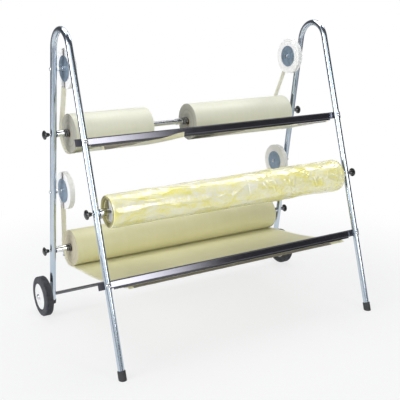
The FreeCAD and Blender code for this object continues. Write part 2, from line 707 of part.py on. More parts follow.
# Where a web passes under its blade, and the angle on the roll where it leaves
def web_route(rod, radius, rail_z):
    centre = paper_centre(rod)
    middle_r = radius + SHEET_GAP + WEB_THICKNESS / 2
    blade_y = TUBE_R + RAIL_THICKNESS + BLADE_THICKNESS / 2
    tip = FRONT.point(0, rail_z, blade_y, -RAIL_HEIGHT / 2 - BLADE_DROP)
    under = (tip.y, tip.z - SHEET_GAP - WEB_THICKNESS / 2)
    direction, reach = tangent_line(under, centre, middle_r, -1)
    return centre, middle_r, under, direction


def flap_size(flap, share):
    for (s0, l0, a0), (s1, l1, a1) in zip(flap, flap[1:]):
        if share <= s1:
            part = (share - s0) / (s1 - s0)
            return l0 + (l1 - l0) * part, math.radians(a0 + (a1 - a0) * part)
    return flap[-1][1], math.radians(flap[-1][2])


def web_points(route, flap, share):
    centre, middle_r, under, direction = route
    leave = direction - math.pi / 2
    step = math.radians(WRAP_STEP)
    steps = round(WEB_WRAP / WRAP_STEP)
    points = [on_circle(centre, middle_r, leave + step * (steps - i)) for i in range(steps + 1)]
    forward = direction + math.pi
    y = under[0] + WEB_PAST_BLADE * math.cos(forward)
    z = under[1] + WEB_PAST_BLADE * math.sin(forward)
    points.append((y, z))
    length, turn = flap_size(flap, share)
    for part, reach in ((0.5, length / 3), (1.0, 2 * length / 3)):
        y += reach * math.cos(forward - part * turn)
        z += reach * math.sin(forward - part * turn)
        points.append((y, z))
    return points


# The two sides of a sheet of one thickness around a line of points in the YZ plane
def offset_points(points, distance):
    result = []
    for i, point in enumerate(points):
        before = points[max(i - 1, 0)]
        after = points[min(i + 1, len(points) - 1)]
        heading_in = math.atan2(point[1] - before[1], point[0] - before[0]) if i > 0 else None
        heading_out = math.atan2(after[1] - point[1], after[0] - point[0]) if i < len(points) - 1 else None
        heading_in = heading_out if heading_in is None else heading_in
        heading_out = heading_in if heading_out is None else heading_out
        turn = math.remainder(heading_out - heading_in, TAU)
        normal = heading_in + turn / 2 + math.pi / 2
        reach = distance / math.cos(turn / 2)
        result.append((point[0] + reach * math.cos(normal), point[1] + reach * math.sin(normal)))
    return result


def sheet_section(x, points, thickness):
    above = offset_points(points, thickness / 2)
    below = offset_points(points, -thickness / 2)
    corners = [Vec(x, y, z) for y, z in above + below[::-1]]
    return Part.makePolygon(corners + [corners[0]])


def web(ends, rod, radius, rail_z, flap):
    route = web_route(rod, radius, rail_z)
    sections = []
    for i in range(FLAP_STATIONS):
        share = i / (FLAP_STATIONS - 1)
        x = ends[0] + (ends[1] - ends[0]) * share
        sections.append(sheet_section(x, web_points(route, flap, share), WEB_THICKNESS))
    return Part.makeLoft(sections, True, True)


# A tape strip: from the reel to the back of the roll, round under it, and along the web's edge
def strip_points(rod, radius, rail_z, reel):
    centre, web_r, under, direction = web_route(rod, radius, rail_z)
    middle_r = web_r + WEB_THICKNESS / 2 + SHEET_GAP + TAPE_THICKNESS / 2
    start = on_circle(reel, TAPE_R + SHEET_GAP + TAPE_THICKNESS / 2, math.radians(PEEL_ANGLE))
    heading, reach = tangent_line(start, centre, middle_r, 1)
    arrive = heading + math.pi / 2
    leave = math.remainder(direction - math.pi / 2, TAU)
    steps = round(math.degrees(arrive - leave) / WRAP_STEP)
    wrap = [on_circle(centre, middle_r, arrive + (leave - arrive) * i / steps) for i in range(steps + 1)]
    lower = (under[0] + (middle_r - web_r) * math.cos(leave), under[1] + (middle_r - web_r) * math.sin(leave))
    return [start] + wrap + [lower]


def strip_section(x, y, z, heading):
    across = Vec(0, -math.sin(heading), math.cos(heading)) * (TAPE_THICKNESS / 2)
    half = Vec(TAPE_WIDTH / 2, 0, 0)
    middle = Vec(x, y, z)
    corners = [middle - half - across, middle + half - across, middle + half + across, middle - half + across]
    return Part.makePolygon(corners + [corners[0]])


def tape_strip(side, edge_x, rod, radius, rail_z, reel):
    points = strip_points(rod, radius, rail_z, reel)
    reel_x = side * (TAPE_OUTER_X + TAPE_INNER_X) / 2
    sections = []
    for i, (y, z) in enumerate(points):
        before = points[max(i - 1, 0)]
        after = points[min(i + 1, len(points) - 1)]
        heading = math.atan2(after[1] - before[1], after[0] - before[0])
        sections.append(strip_section(reel_x if i == 0 else edge_x, y, z, heading))
    return Part.makeLoft(sections, True, True)


def build_frame():
    for name, side in SIDES:
        save(name + "_front_leg", front_leg(side * LEG_X))
        save(name + "_rear_leg", rear_leg(side * LEG_X))
    save("front_feet", *[front_foot(side * LEG_X) for name, side in SIDES])
    save("rear_leg_caps", *[rear_cap(side * LEG_X) for name, side in SIDES])


def build_wheels():
    save("axle", axle())
    save("axle_push_nuts", *[push_nut(side) for name, side in SIDES])
    save("wheel_spacers", *[wheel_spacer(side) for name, side in SIDES])
    for name, side in SIDES:
        save(name + "_tyre", tyre(side))
        save(name + "_wheel_hub", wheel_hub(side))


def build_rods():
    for name, rod in RODS:
        save(name + "_spindle", spindle(rod))
        for side_name, side in SIDES:
            save(f"{name}_{side_name}_knob_stud", knob_stud(rod, side))
            save(f"{name}_{side_name}_knob_head", knob_head(rod, side))
    save("spindle_plugs", *[spindle_plug(rod, side) for name, rod in RODS for side_name, side in SIDES])


def build_collars():
    collars = end_collar_list()
    save("end_collars", *[collar_with_hole(*entry[:5]) for entry in collars])
    save("collar_screws", *[collar_screw(*entry[2:]) for entry in collars])
    end = UPPER_RIGHT_ENDS[0] - MIDDLE_SPRING_SPACE
    start = end - MIDDLE_COLLAR_LENGTH
    screw_x = (start + end) / 2
    back = Vec(0, 1, 0)
    save("middle_collar", collar_with_hole(start, end, UPPER_ROD, screw_x, back),
         collar_screw(UPPER_ROD, screw_x, back, SCREW_REACH))
    save("middle_spring", spring(end, UPPER_RIGHT_ENDS[0] - END_GAP, UPPER_ROD))
    save("end_springs",
         spring(-ROD_END_X + COLLAR_LENGTH, UPPER_LEFT_ENDS[0] - END_GAP, UPPER_ROD),
         spring(-ROD_END_X + LONG_COLLAR_LENGTH, LOWER_ENDS[0] - END_GAP, LOWER_ROD))


def build_rolls():
    rolls = (("upper_left_paper", UPPER_LEFT_ENDS, UPPER_ROD, UPPER_LEFT_PAPER_R),
             ("upper_right_paper", UPPER_RIGHT_ENDS, UPPER_ROD, UPPER_RIGHT_PAPER_R),
             ("lower_paper", LOWER_ENDS, LOWER_ROD, LOWER_PAPER_R))
    for name, ends, rod, radius in rolls:
        save(name + "_roll", paper_roll(ends, rod, radius))
        save(name + "_core", paper_core(ends, rod))
    save("film_roll", film_winding())
    save("film_core", film_core())
    save("film_adapters", *[film_adapter(side) for name, side in SIDES])


def build_rails():
    for name, z in RAILS:
        save(name + "_cutter_rail", rail(z))
    save("cutter_blades", *[blade(z) for name, z in RAILS])
    places = [(side * LEG_X, z) for side_name, side in SIDES for name, z in RAILS]
    reels = [(side, y, z) for side_name, side in SIDES for name, y, z in REELS]
    save("rail_bolts", *[rail_bolt(x, z) for x, z in places])
    nuts = [rail_nut(x, z) for x, z in places]
    for reel in reels:
        nuts += tape_nuts(*reel)
    save("hex_nuts", *nuts)


def build_reels():
    reels = [(side, y, z) for side_name, side in SIDES for name, y, z in REELS]
    for side_name, side in SIDES:
        for name, y, z in REELS:
            save(f"{name}_{side_name}_tape", *tape(side, y, z))
    save("tape_hubs", *[tape_hub(*reel) for reel in reels])
    save("tape_hub_plates", *[plate(*reel) for reel in reels for plate in (outer_plate, inner_plate)])
    save("tape_drag_strips", *[drag_strip(*reel) for reel in reels])
    save("tape_bolts", *[tape_bolt(*reel) for reel in reels])


def build_sheets():
    upper_reel = REELS[0][1:]
    lower_reel = REELS[1][1:]
    upper_left = (UPPER_ROD, UPPER_LEFT_PAPER_R, UPPER_RAIL_Z)
    upper_right = (UPPER_ROD, UPPER_RIGHT_PAPER_R, UPPER_RAIL_Z)
    lower = (LOWER_ROD, LOWER_PAPER_R, LOWER_RAIL_Z)
    save("upper_left_web", web(UPPER_LEFT_ENDS, *upper_left, UPPER_LEFT_FLAP))
    save("upper_right_web", web(UPPER_RIGHT_ENDS, *upper_right, UPPER_RIGHT_FLAP))
    save("lower_web", web(LOWER_ENDS, *lower, LOWER_FLAP))
    save("tape_strips",
         tape_strip(-1, UPPER_LEFT_ENDS[0], *upper_left, upper_reel),
         tape_strip(1, UPPER_RIGHT_ENDS[1], *upper_right, upper_reel),
         tape_strip(-1, LOWER_ENDS[0], *lower, lower_reel),
         tape_strip(1, LOWER_ENDS[1], *lower, lower_reel))


os.makedirs("parts", exist_ok=True)
build_frame()
build_wheels()
build_rods()
build_collars()
build_rolls()
build_rails()
build_reels()
build_sheets()
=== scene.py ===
import math

import bmesh
import bpy
import numpy as np
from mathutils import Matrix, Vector

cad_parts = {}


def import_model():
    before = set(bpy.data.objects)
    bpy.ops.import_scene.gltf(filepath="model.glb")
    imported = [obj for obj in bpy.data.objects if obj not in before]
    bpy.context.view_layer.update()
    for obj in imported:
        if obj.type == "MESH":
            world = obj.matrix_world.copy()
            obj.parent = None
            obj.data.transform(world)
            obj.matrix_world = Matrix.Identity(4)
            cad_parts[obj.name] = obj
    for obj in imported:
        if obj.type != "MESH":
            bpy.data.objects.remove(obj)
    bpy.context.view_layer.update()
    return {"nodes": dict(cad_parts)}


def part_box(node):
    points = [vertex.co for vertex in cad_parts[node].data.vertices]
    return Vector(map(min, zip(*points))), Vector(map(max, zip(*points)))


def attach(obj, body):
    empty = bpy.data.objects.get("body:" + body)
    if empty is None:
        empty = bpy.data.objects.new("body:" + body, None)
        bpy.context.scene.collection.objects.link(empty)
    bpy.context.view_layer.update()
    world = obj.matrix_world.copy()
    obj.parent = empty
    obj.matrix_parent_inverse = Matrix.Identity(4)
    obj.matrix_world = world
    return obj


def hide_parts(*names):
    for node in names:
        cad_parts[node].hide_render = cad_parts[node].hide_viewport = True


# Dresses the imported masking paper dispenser: the CAD nodes get materials, and paper, film, tape, springs and
# wheels get pieces with more shape. Shapes are in millimetres, and materials, lamps and camera in metres.
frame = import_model()
nodes = frame["nodes"]
TAU = 2 * math.pi
MM = 0.001


# Sizes and places read from the CAD nodes, in millimetres. A place is (y, z), where a line along X runs.
def ends_of(node):
    low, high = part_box(node)
    return round(low[0] / MM, 1), round(high[0] / MM, 1)


def place_of(node, digits=1):
    low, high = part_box(node)
    return tuple(round((low[axis] + high[axis]) / 2 / MM, digits) for axis in (1, 2))


def radius_of(node):
    low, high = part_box(node)
    return round((high[2] - low[2]) / 2 / MM, 1)


UPPER_ROD = place_of("upper_spindle")
LOWER_ROD = place_of("lower_spindle")
FILM_ROD = place_of("film_spindle")
ROD_END_X = ends_of("upper_spindle")[1]
AXLE = place_of("axle")
TYRE_ENDS = ends_of("right_tyre")
WHEEL_X = (TYRE_ENDS[0] + TYRE_ENDS[1]) / 2
WHEEL_HALF = (TYRE_ENDS[1] - TYRE_ENDS[0]) / 2
WHEEL_R = radius_of("right_tyre")
RIM_R = radius_of("right_wheel_hub")
UPPER_REEL = place_of("upper_right_tape")
LOWER_REEL = place_of("lower_right_tape")
TAPE_IN_X, TAPE_OUT_X = ends_of("upper_right_tape")
TAPE_R = radius_of("upper_right_tape")
FILM_ENDS = ends_of("film_roll")
FILM_R = radius_of("film_roll")
PAPER_BORE_R = radius_of("lower_paper_core")
PAPER_SAG = LOWER_ROD[1] - place_of("lower_paper_roll", 3)[1]

# Sizes of the CAD source that no box gives, in millimetres
FILM_BORE_R = 42.1
TAPE_CORE_R, TAPE_BORE_R = 40.5, 38.1
UPPER_RAIL_Z, LOWER_RAIL_Z = 731.5, 289.5
RAIL_HEIGHT = 24.5
SLEEVE_X = 512.0
COLLAR_LENGTH, LONG_COLLAR_LENGTH = 23.5, 38.0
END_GAP = 0.3
ROD_R, WIRE_R, SPRING_GAP = 9.525, 1.2, 0.5
SPRING_R = ROD_R + SPRING_GAP + WIRE_R
SPRING_FLARE, SPRING_TURNS = 3.0, 2.75

# The front legs' line, which the rails follow: its foot, its slope, and a step of 1 up along it
FOOT_Y, LEG_SLOPE = -336.325, 0.31722
LEG_DY, LEG_DZ = math.sin(math.atan(LEG_SLOPE)), math.cos(math.atan(LEG_SLOPE))


def front_y(z):
    return FOOT_Y + LEG_SLOPE * z


# Noise and meshes
def ease(t):
    t = np.clip(t, 0.0, 1.0)
    return t * t * (3 - 2 * t)


def noise_field(u, v, nu, nv, seed):
    """Smooth random values from 0 to 1 on nu by nv cells, periodic along v."""
    grid = np.random.RandomState(seed).rand(nu + 2, nv)
    x = np.clip(u, 0, 1) * nu
    i = np.minimum(np.floor(x).astype(int), nu)
    y = np.mod(v, 1.0) * nv
    j = np.floor(y).astype(int) % nv
    fx, fy = ease(x - i), ease(y - np.floor(y))
    k, m = i + 1, (j + 1) % nv
    low = grid[i, j] * (1 - fy) + grid[i, m] * fy
    high = grid[k, j] * (1 - fy) + grid[k, m] * fy
    return low * (1 - fx) + high * fx


def noise_value(u, v, nu, nv, seed):
    """The noise field at one point."""
    return float(noise_field(np.array(u), np.array(v), nu, nv, seed))


def mesh_piece(name, points, faces, material):
    mesh = bpy.data.meshes.new(name)
    mesh.from_pydata((np.asarray(points) * MM).tolist(), [], faces)
    mesh.validate()
    mesh.polygons.foreach_set("use_smooth", [True] * len(mesh.polygons))
    mesh.materials.append(material)
    piece = bpy.data.objects.new(name, mesh)
    bpy.context.scene.collection.objects.link(piece)
    return piece


def grid_faces(rows, columns, closed_rows=False, closed_columns=False):
    faces = []
    for i in range(rows if closed_rows else rows - 1):
        for j in range(columns if closed_columns else columns - 1):
            a, b = i * columns, (i + 1) % rows * columns
            k = (j + 1) % columns
            faces.append((a + j, a + k, b + k, b + j))
    return faces


def fix_normals(piece):
    mesh = bmesh.new()
    mesh.from_mesh(piece.data)
    bmesh.ops.remove_doubles(mesh, verts=mesh.verts, dist=1e-6)
    bmesh.ops.recalc_face_normals(mesh, faces=mesh.faces)
    mesh.to_mesh(piece.data)
    mesh.free()
    return piece


def sharp(piece, degrees):
    piece.data.set_sharp_from_angle(angle=math.radians(degrees))
    return piece


def lathe(name, profile, centre, material, segments, shift=None):
    """A closed profile of (x, radius) turned about a line along X. shift(x, radius, angle) moves points."""
    x, r = (np.array(values, float)[:, None] for values in zip(*profile))
    angle = np.arange(segments)[None, :] * TAU / segments
    x, r = x + 0 * angle, r + 0 * angle
    if shift:
        dx, dr = shift(x, r, angle)
        x, r = x + dx, r + dr
    y, z = centre[0] + r * np.cos(angle), centre[1] + r * np.sin(angle)
    points = np.stack([x, y, z], -1).reshape(-1, 3)
    return fix_normals(mesh_piece(name, points, grid_faces(len(profile), segments, True, True), material))


def tube(name, path, radius, material, sides):
    """A round tube along a line of points, with closed ends."""
    path = np.asarray(path, float)
    tangent = np.gradient(path, axis=0)
    tangent /= np.linalg.norm(tangent, axis=1)[:, None]
    side = np.cross(tangent[0], (0.0, 0.3, 1.0))
    rings = []
    for p, t in zip(path, tangent):
        side = side - t * side.dot(t)
        side /= np.linalg.norm(side)
        up = np.cross(t, side)
        for k in range(sides):
            angle = TAU * k / sides
            rings.append(p + radius * (side * math.cos(angle) + up * math.sin(angle)))
    faces = grid_faces(len(path), sides, False, True)
    faces.append(tuple(range(sides))[::-1])
    faces.append(tuple((len(path) - 1) * sides + k for k in range(sides)))
    return fix_normals(mesh_piece(name, rings, faces, material))


def thin_sheet(name, grid, thickness, material):
    """A sheet of one thickness around a grid of points."""
    grid = np.asarray(grid, float)
    normal = np.cross(np.gradient(grid, axis=0), np.gradient(grid, axis=1))
    normal /= np.linalg.norm(normal, axis=-1)[..., None]
    rows, columns = grid.shape[:2]
    half = normal * thickness / 2
    points = np.concatenate([(grid + half).reshape(-1, 3), (grid - half).reshape(-1, 3)])
    top = grid_faces(rows, columns)
    n = rows * columns
    faces = top + [tuple(n + k for k in reversed(face)) for face in top]
    rim = [i * columns for i in range(rows)]
    rim += [(rows - 1) * columns + j for j in range(1, columns)]
    rim += [i * columns + columns - 1 for i in range(rows - 2, -1, -1)]
    rim += list(range(columns - 2, 0, -1))
    for a, b in zip(rim, rim[1:] + rim[:1]):
        faces.append((b, a, n + a, n + b))
    return sharp(fix_normals(mesh_piece(name, points, faces, material)), 50)


# Materials
def math_node(tree, operation, a, b=0.0):
    made = tree.nodes.new("ShaderNodeMath")
    made.operation = operation
    for value, socket in ((a, made.inputs[0]), (b, made.inputs[1])):
        if isinstance(value, float):
            socket.default_value = value
        else:
            tree.links.new(value, socket)
    return made.outputs[0]


def fade(tree, value, start, end, low, high):
    made = tree.nodes.new("ShaderNodeMapRange")
    made.interpolation_type = "SMOOTHSTEP"
    for socket, number in (("From Min", start), ("From Max", end), ("To Min", low), ("To Max", high)):
        made.inputs[socket].default_value = number
    tree.links.new(value, made.inputs["Value"])
    return made.outputs["Result"]


def scaled(colour, factor, lift=0.0):
    """A colour made lighter or darker by a factor, up to white, with the same lift on each channel."""
    return tuple(min(1.0, channel * factor + lift) for channel in colour)


class Material:
    """A Principled material with helpers for noise, colour ramps and bump on object coordinates."""

    def __init__(self, name, colour, roughness, metallic=0.0, **sockets):
        self.data = bpy.data.materials.new(name)
        self.data.use_nodes = True
        self.tree = self.data.node_tree
        self.shader = self.tree.nodes["Principled BSDF"]
        self.shader.inputs["Base Color"].default_value = (*colour, 1)
        self.shader.inputs["Roughness"].default_value = roughness
        self.shader.inputs["Metallic"].default_value = metallic
        for socket, value in sockets.items():
            self.shader.inputs[socket.replace("_", " ")].default_value = value
        self.coordinates = self.node("ShaderNodeTexCoord").outputs["Object"]
        self.height = None

    def node(self, kind, **values):
        made = self.tree.nodes.new(kind)
        for key, value in values.items():
            if hasattr(made, key):
                setattr(made, key, value)
            else:
                made.inputs[key].default_value = value
        return made

    def link(self, start, end):
        self.tree.links.new(start, end)

    def maths(self, operation, a, b=0.0):
        return math_node(self.tree, operation, a, b)

    def fade(self, value, start, end, low, high):
        return fade(self.tree, value, start, end, low, high)

    def axes(self):
        """The object coordinates as three sockets, X, Y and Z."""
        split = self.node("ShaderNodeSeparateXYZ")
        self.link(self.coordinates, split.inputs["Vector"])
        return split.outputs

    def place(self, scale):
        mapping = self.node("ShaderNodeMapping")
        mapping.inputs["Scale"].default_value = scale
        self.link(self.coordinates, mapping.inputs["Vector"])
        return mapping.outputs["Vector"]

    def noise(self, scale, detail=4.0, rough=0.55, distortion=0.0, stretch=(1, 1, 1)):
        made = self.node("ShaderNodeTexNoise", Scale=scale, Detail=detail, Roughness=rough)
        made.inputs["Distortion"].default_value = distortion
        self.link(self.place(stretch), made.inputs["Vector"])
        return made.outputs["Fac"]

    def cells(self, scale):
        made = self.node("ShaderNodeTexVoronoi", Scale=scale)
        self.link(self.place((1, 1, 1)), made.inputs["Vector"])
        return made.outputs["Color"]

    def ramp(self, fac, *stops):
        made = self.node("ShaderNodeValToRGB")
        elements = made.color_ramp.elements
        for element, (position, colour) in zip(elements, stops):
            element.position = position
            element.color = (*colour, 1) if hasattr(colour, "__len__") else (colour, colour, colour, 1)
        self.link(fac, made.inputs["Fac"])
        return made.outputs["Color"]

    def mix(self, fac, a, b, blend="MIX"):
        made = self.node("ShaderNodeMix")
        made.data_type = "RGBA"
        made.blend_type = blend
        if isinstance(fac, float):
            made.inputs[0].default_value = fac
        else:
            self.link(fac, made.inputs[0])
        for value, socket in ((a, made.inputs[6]), (b, made.inputs[7])):
            if hasattr(value, "__len__"):
                socket.default_value = (*value, 1)
            else:
                self.link(value, socket)
        return made.outputs[2]

    def colour(self, socket):
        self.link(socket, self.shader.inputs["Base Color"])

    def roughness(self, fac, low, high):
        self.link(self.ramp(fac, (0.3, low), (0.7, high)), self.shader.inputs["Roughness"])

    def bump(self, fac, distance, strength=1.0):
        """A bump on top of the earlier ones, its distance in metres. It gives back the material's data."""
        made = self.node("ShaderNodeBump", Strength=strength, Distance=distance)
        self.link(fac, made.inputs["Height"])
        if self.height:
            self.link(self.height, made.inputs["Normal"])
        self.height = made.outputs["Normal"]
        self.link(self.height, self.shader.inputs["Normal"])
        return self.data


def zinc():
    m = Material("zinc", (0.64, 0.69, 0.75), 0.18, 1.0)
    cloud = m.noise(9, 4, 0.55, stretch=(1, 1, 0.35))
    tint = m.ramp(cloud, (0.3, (0.50, 0.59, 0.69)), (0.7, (0.67, 0.73, 0.79)))
    m.colour(m.mix(0.06, tint, m.cells(220), "SOFT_LIGHT"))
    m.roughness(m.noise(40, 3), 0.13, 0.2)
    return m.bump(m.noise(260, 2, stretch=(1, 1, 0.1)), 0.00003, 0.4)


def steel(name, colour, low, high):
    """Turned or drawn steel, with fine streaks along X."""
    m = Material(name, colour, low, 1.0)
    streaks = m.noise(500, 3, stretch=(0.05, 1, 1))
    m.colour(m.ramp(streaks, (0.3, scaled(colour, 0.88)), (0.7, colour)))
    m.roughness(m.noise(120, 4), low, high)
    return m.bump(streaks, 0.00001, 0.4)


def gloss_black(name, colour, roughness, speck=0.00004, **sockets):
    m = Material(name, colour, roughness, 0.0, **sockets)
    m.colour(m.ramp(m.noise(35, 6, 0.65), (0.4, colour), (0.85, scaled(colour, 1.8, 0.004))))
    m.roughness(m.noise(60, 5), roughness, roughness + 0.05)
    m.bump(m.noise(500, 2), speck, 0.4)
    return m


RAIL_WORN, RAIL_WEAR_FADE = 2.5, 1.5
DULL = (0.8, 0.8, 0.8)


def rail_material():
    """Gloss paint, worn dull along the rail's two long edges, with matt rubber sleeves outside the legs."""
    m = gloss_black("black_rail", (0.010, 0.010, 0.013), 0.09, 0.00001, IOR=1.8, Specular_IOR_Level=1.0,
                    Specular_Tint=(0.88, 0.87, 1.0, 1))
    axes = m.axes()
    up = m.maths("ADD", m.maths("MULTIPLY", axes["Y"], LEG_DY), m.maths("MULTIPLY", axes["Z"], LEG_DZ))
    from_middle = []
    for z in (UPPER_RAIL_Z, LOWER_RAIL_Z):
        middle = (front_y(z) * LEG_DY + z * LEG_DZ) * MM
        from_middle.append(m.maths("ABSOLUTE", m.maths("SUBTRACT", up, middle)))
    worn = (RAIL_HEIGHT / 2 - RAIL_WORN) * MM
    dull = m.fade(m.maths("MINIMUM", *from_middle), worn - RAIL_WEAR_FADE * MM, worn, 0.0, 1.0)
    sleeve = m.maths("GREATER_THAN", m.maths("ABSOLUTE", axes["X"]), SLEEVE_X * MM)
    roughness = m.shader.inputs["Roughness"]
    m.link(m.mix(m.maths("MAXIMUM", dull, sleeve), roughness.links[0].from_socket, DULL), roughness)
    return m.data


def rubber(name, colour, roughness):
    m = Material(name, colour, roughness)
    m.colour(m.ramp(m.noise(40, 6, 0.7), (0.3, colour), (0.8, scaled(colour, 1.8, 0.01))))
    m.roughness(m.noise(150, 4), roughness - 0.1, roughness + 0.1)
    return m.bump(m.noise(900, 4), 0.0002, 0.6)


def tyre_material():
    m = Material("tyre", (0.045, 0.046, 0.055), 0.7)
    m.colour(m.ramp(m.noise(60, 6, 0.7), (0.3, (0.03, 0.031, 0.038)), (0.75, (0.085, 0.087, 0.10))))
    m.roughness(m.noise(150, 4), 0.55, 0.8)
    return m.bump(m.noise(420, 5), 0.0004, 0.7)


def plastic(name, colour, roughness):
    m = Material(name, colour, roughness)
    m.colour(m.ramp(m.noise(20, 4), (0.3, scaled(colour, 0.93)), (0.7, colour)))
    m.roughness(m.noise(90, 4), roughness - 0.06, roughness + 0.08)
    return m.bump(m.noise(600, 3), 0.0001, 0.4)


def hub_metal(name, colour):
    m = Material(name, colour, 0.42, 0.6)
    mottle = m.noise(55, 6, 0.7, 0.5)
    m.colour(m.ramp(mottle, (0.3, scaled(colour, 0.7)), (0.7, scaled(colour, 1.25))))
    m.roughness(m.noise(90, 5), 0.3, 0.52)
    return m.bump(mottle, 0.0003, 0.35)


def paper_material(name, light, dark, low=0.42, high=0.52):
    """Paper or card: soft clouds of tone, fine fibres and faint bands round the roll."""
    m = Material(name, light, low, 0.0, Sheen_Weight=0.1, Specular_IOR_Level=0.8)
    cloud = m.noise(9, 5, 0.6, stretch=(0.5, 1, 1))
    fibre = m.noise(1400, 4, 0.7, stretch=(0.3, 1, 1))
    bands = m.noise(70, 3, 0.5, stretch=(1, 0.02, 0.02))
    base = m.ramp(cloud, (0.25, dark), (0.75, light))
    base = m.mix(0.22, base, m.ramp(fibre, (0.3, 0.25), (0.7, 0.75)), "SOFT_LIGHT")
    m.colour(m.mix(0.12, base, m.ramp(bands, (0.3, 0.3), (0.7, 0.7)), "SOFT_LIGHT"))
    m.roughness(cloud, low, high)
    m.bump(bands, 0.0004, 0.3)
    return m.bump(fibre, 0.00004, 0.5)


def tape_material(name, light, dark):
    m = Material(name, light, 0.55, 0.0, Sheen_Weight=0.1)
    m.colour(m.ramp(m.noise(25, 5), (0.3, dark), (0.7, light)))
    m.roughness(m.noise(200, 3), 0.45, 0.65)
    return m.bump(m.noise(1500, 4, 0.6, stretch=(0.15, 1, 1)), 0.00008, 0.7)


def ring_noise(m, centre, scale, detail):
    """Noise by the distance from a roll's axis, for the rings on its end."""
    axes = m.axes()
    squares = []
    for axis, middle in zip(("Y", "Z"), centre):
        off = m.maths("SUBTRACT", axes[axis], middle * MM)
        squares.append(m.maths("MULTIPLY", off, off))
    made = m.node("ShaderNodeTexNoise", Scale=scale, Detail=detail)
    made.noise_dimensions = "1D"
    m.link(m.maths("SQRT", m.maths("ADD", *squares)), made.inputs["W"])
    return made.outputs["Fac"]


def roll_end(name, light, dark, centre, roughness=0.7):
    """The wound layers that show on a roll's end."""
    m = Material(name, light, roughness)
    fine = ring_noise(m, centre, 900, 2)
    base = m.ramp(ring_noise(m, centre, 120, 3), (0.3, dark), (0.7, light))
    base = m.mix(0.35, base, m.ramp(fine, (0.35, 0.15), (0.65, 0.85)), "SOFT_LIGHT")
    m.colour(m.mix(0.25, base, m.ramp(m.noise(60, 5), (0.3, 0.3), (0.7, 0.7)), "SOFT_LIGHT"))
    return m.bump(fine, 0.0003, 0.7)


# The film's painted highlights, pale strips along the roll where the lamps shine on it: degrees up from its
# front with half their width, the metres of X over which they fade, and the radians that they waver over
FILM_PAINTED_HIGHLIGHTS = ((21.0, 13.0), (80.0, 16.0))
FILM_HIGHLIGHTS_FADE = (0.03, 0.2)
FILM_HIGHLIGHTS_WAVER = 0.7
# The colour of the painted glints on the crinkles
FILM_PAINTED_GLINT = (1.0, 0.99, 0.88)


def film_material(name, light, deep, painted_highlight):
    """Crinkled layers of clear yellow film under a glossy coat, on larger patches. A fine speckle of painted
    glints and two paler strips of painted highlight along the roll stand for the lamps' shine on it."""
    m = Material(name, light, 0.3, 0.0, Coat_Weight=1.0, Coat_Roughness=0.12, Coat_IOR=1.7)
    patches = m.noise(30, 4, 0.6, 0.5, (0.5, 1, 1))
    grain = m.noise(140, 5, 0.72, 0.8, (0.7, 1, 1))
    base = m.ramp(m.mix(0.55, patches, grain), (0.44, light), (0.55, deep))
    # Painted glints: near white specks where the grain is high
    base = m.mix(m.ramp(grain, (0.57, 0.0), (0.62, 0.8)), base, FILM_PAINTED_GLINT)
    axes = m.axes()
    up = m.maths("SUBTRACT", axes["Z"], FILM_ROD[1] * MM)
    forward = m.maths("MULTIPLY", m.maths("SUBTRACT", axes["Y"], FILM_ROD[0] * MM), -1.0)
    # Painted highlights: paler strips at set angles round the roll, fading along X
    waver = m.maths("SUBTRACT", m.noise(9, 3, 0.6, 0.5), 0.5)
    angle = m.maths("ADD", m.maths("ARCTAN2", up, forward), m.maths("MULTIPLY", waver, FILM_HIGHLIGHTS_WAVER))
    highlight_reach = m.fade(axes["X"], *FILM_HIGHLIGHTS_FADE, 1.0, 0.25)
    level = m.maths("MULTIPLY", highlight_reach, m.fade(grain, 0.44, 0.53, 1.0, 0.1))
    for middle, half in FILM_PAINTED_HIGHLIGHTS:
        off = m.maths("ABSOLUTE", m.maths("SUBTRACT", angle, math.radians(middle)))
        strip = m.fade(off, math.radians(half) * 0.5, math.radians(half) * 1.4, 1.0, 0.0)
        base = m.mix(m.maths("MULTIPLY", strip, level), base, painted_highlight)
    m.colour(base)
    m.roughness(grain, 0.2, 0.4)
    m.bump(grain, 0.0004, 0.5)
    m.link(m.height, m.shader.inputs["Coat Normal"])
    return m.bump(grain, 0.0010, 0.5)


ZINC = zinc()
BRIGHT = steel("bright_steel", (0.74, 0.76, 0.79), 0.18, 0.3)
ROD = steel("rod_steel", (0.70, 0.72, 0.75), 0.14, 0.26)
CHROME = steel("chrome", (0.82, 0.84, 0.87), 0.06, 0.14)
DARK_STEEL = steel("dark_steel", (0.20, 0.205, 0.225), 0.38, 0.5)
BLACK_STEEL = steel("black_steel", (0.05, 0.05, 0.06), 0.3, 0.42)
BRONZE = steel("bronze", (0.36, 0.27, 0.19), 0.3, 0.45)
RAIL = rail_material()
BLADE = gloss_black("black_blade", (0.016, 0.016, 0.018), 0.28).data
KNOB = gloss_black("knob_black", (0.012, 0.012, 0.014), 0.15, Coat_Weight=0.6, Coat_Roughness=0.06).data
RUBBER = rubber("black_rubber", (0.028, 0.028, 0.03), 0.62)
TYRE = tyre_material()
HUB = plastic("white_hub", (0.92, 0.92, 0.915), 0.35)
ADAPTER = plastic("white_adapter", (0.95, 0.95, 0.95), 0.4)
BLUE_PLATE = hub_metal("hub_blue", (0.33, 0.43, 0.54))
UPPER_PAPER = paper_material("upper_paper", (0.78, 0.775, 0.64), (0.73, 0.73, 0.59))
LOWER_PAPER = paper_material("lower_paper", (0.81, 0.78, 0.50), (0.75, 0.72, 0.44))
EDGE_PAPER = paper_material("torn_edge", (0.80, 0.765, 0.54), (0.73, 0.69, 0.44))
CARD = paper_material("card", (0.50, 0.41, 0.27), (0.42, 0.34, 0.22), 0.6, 0.7)
FILM_CARD = paper_material("film_card", (0.78, 0.74, 0.50), (0.68, 0.63, 0.38), 0.6, 0.7)
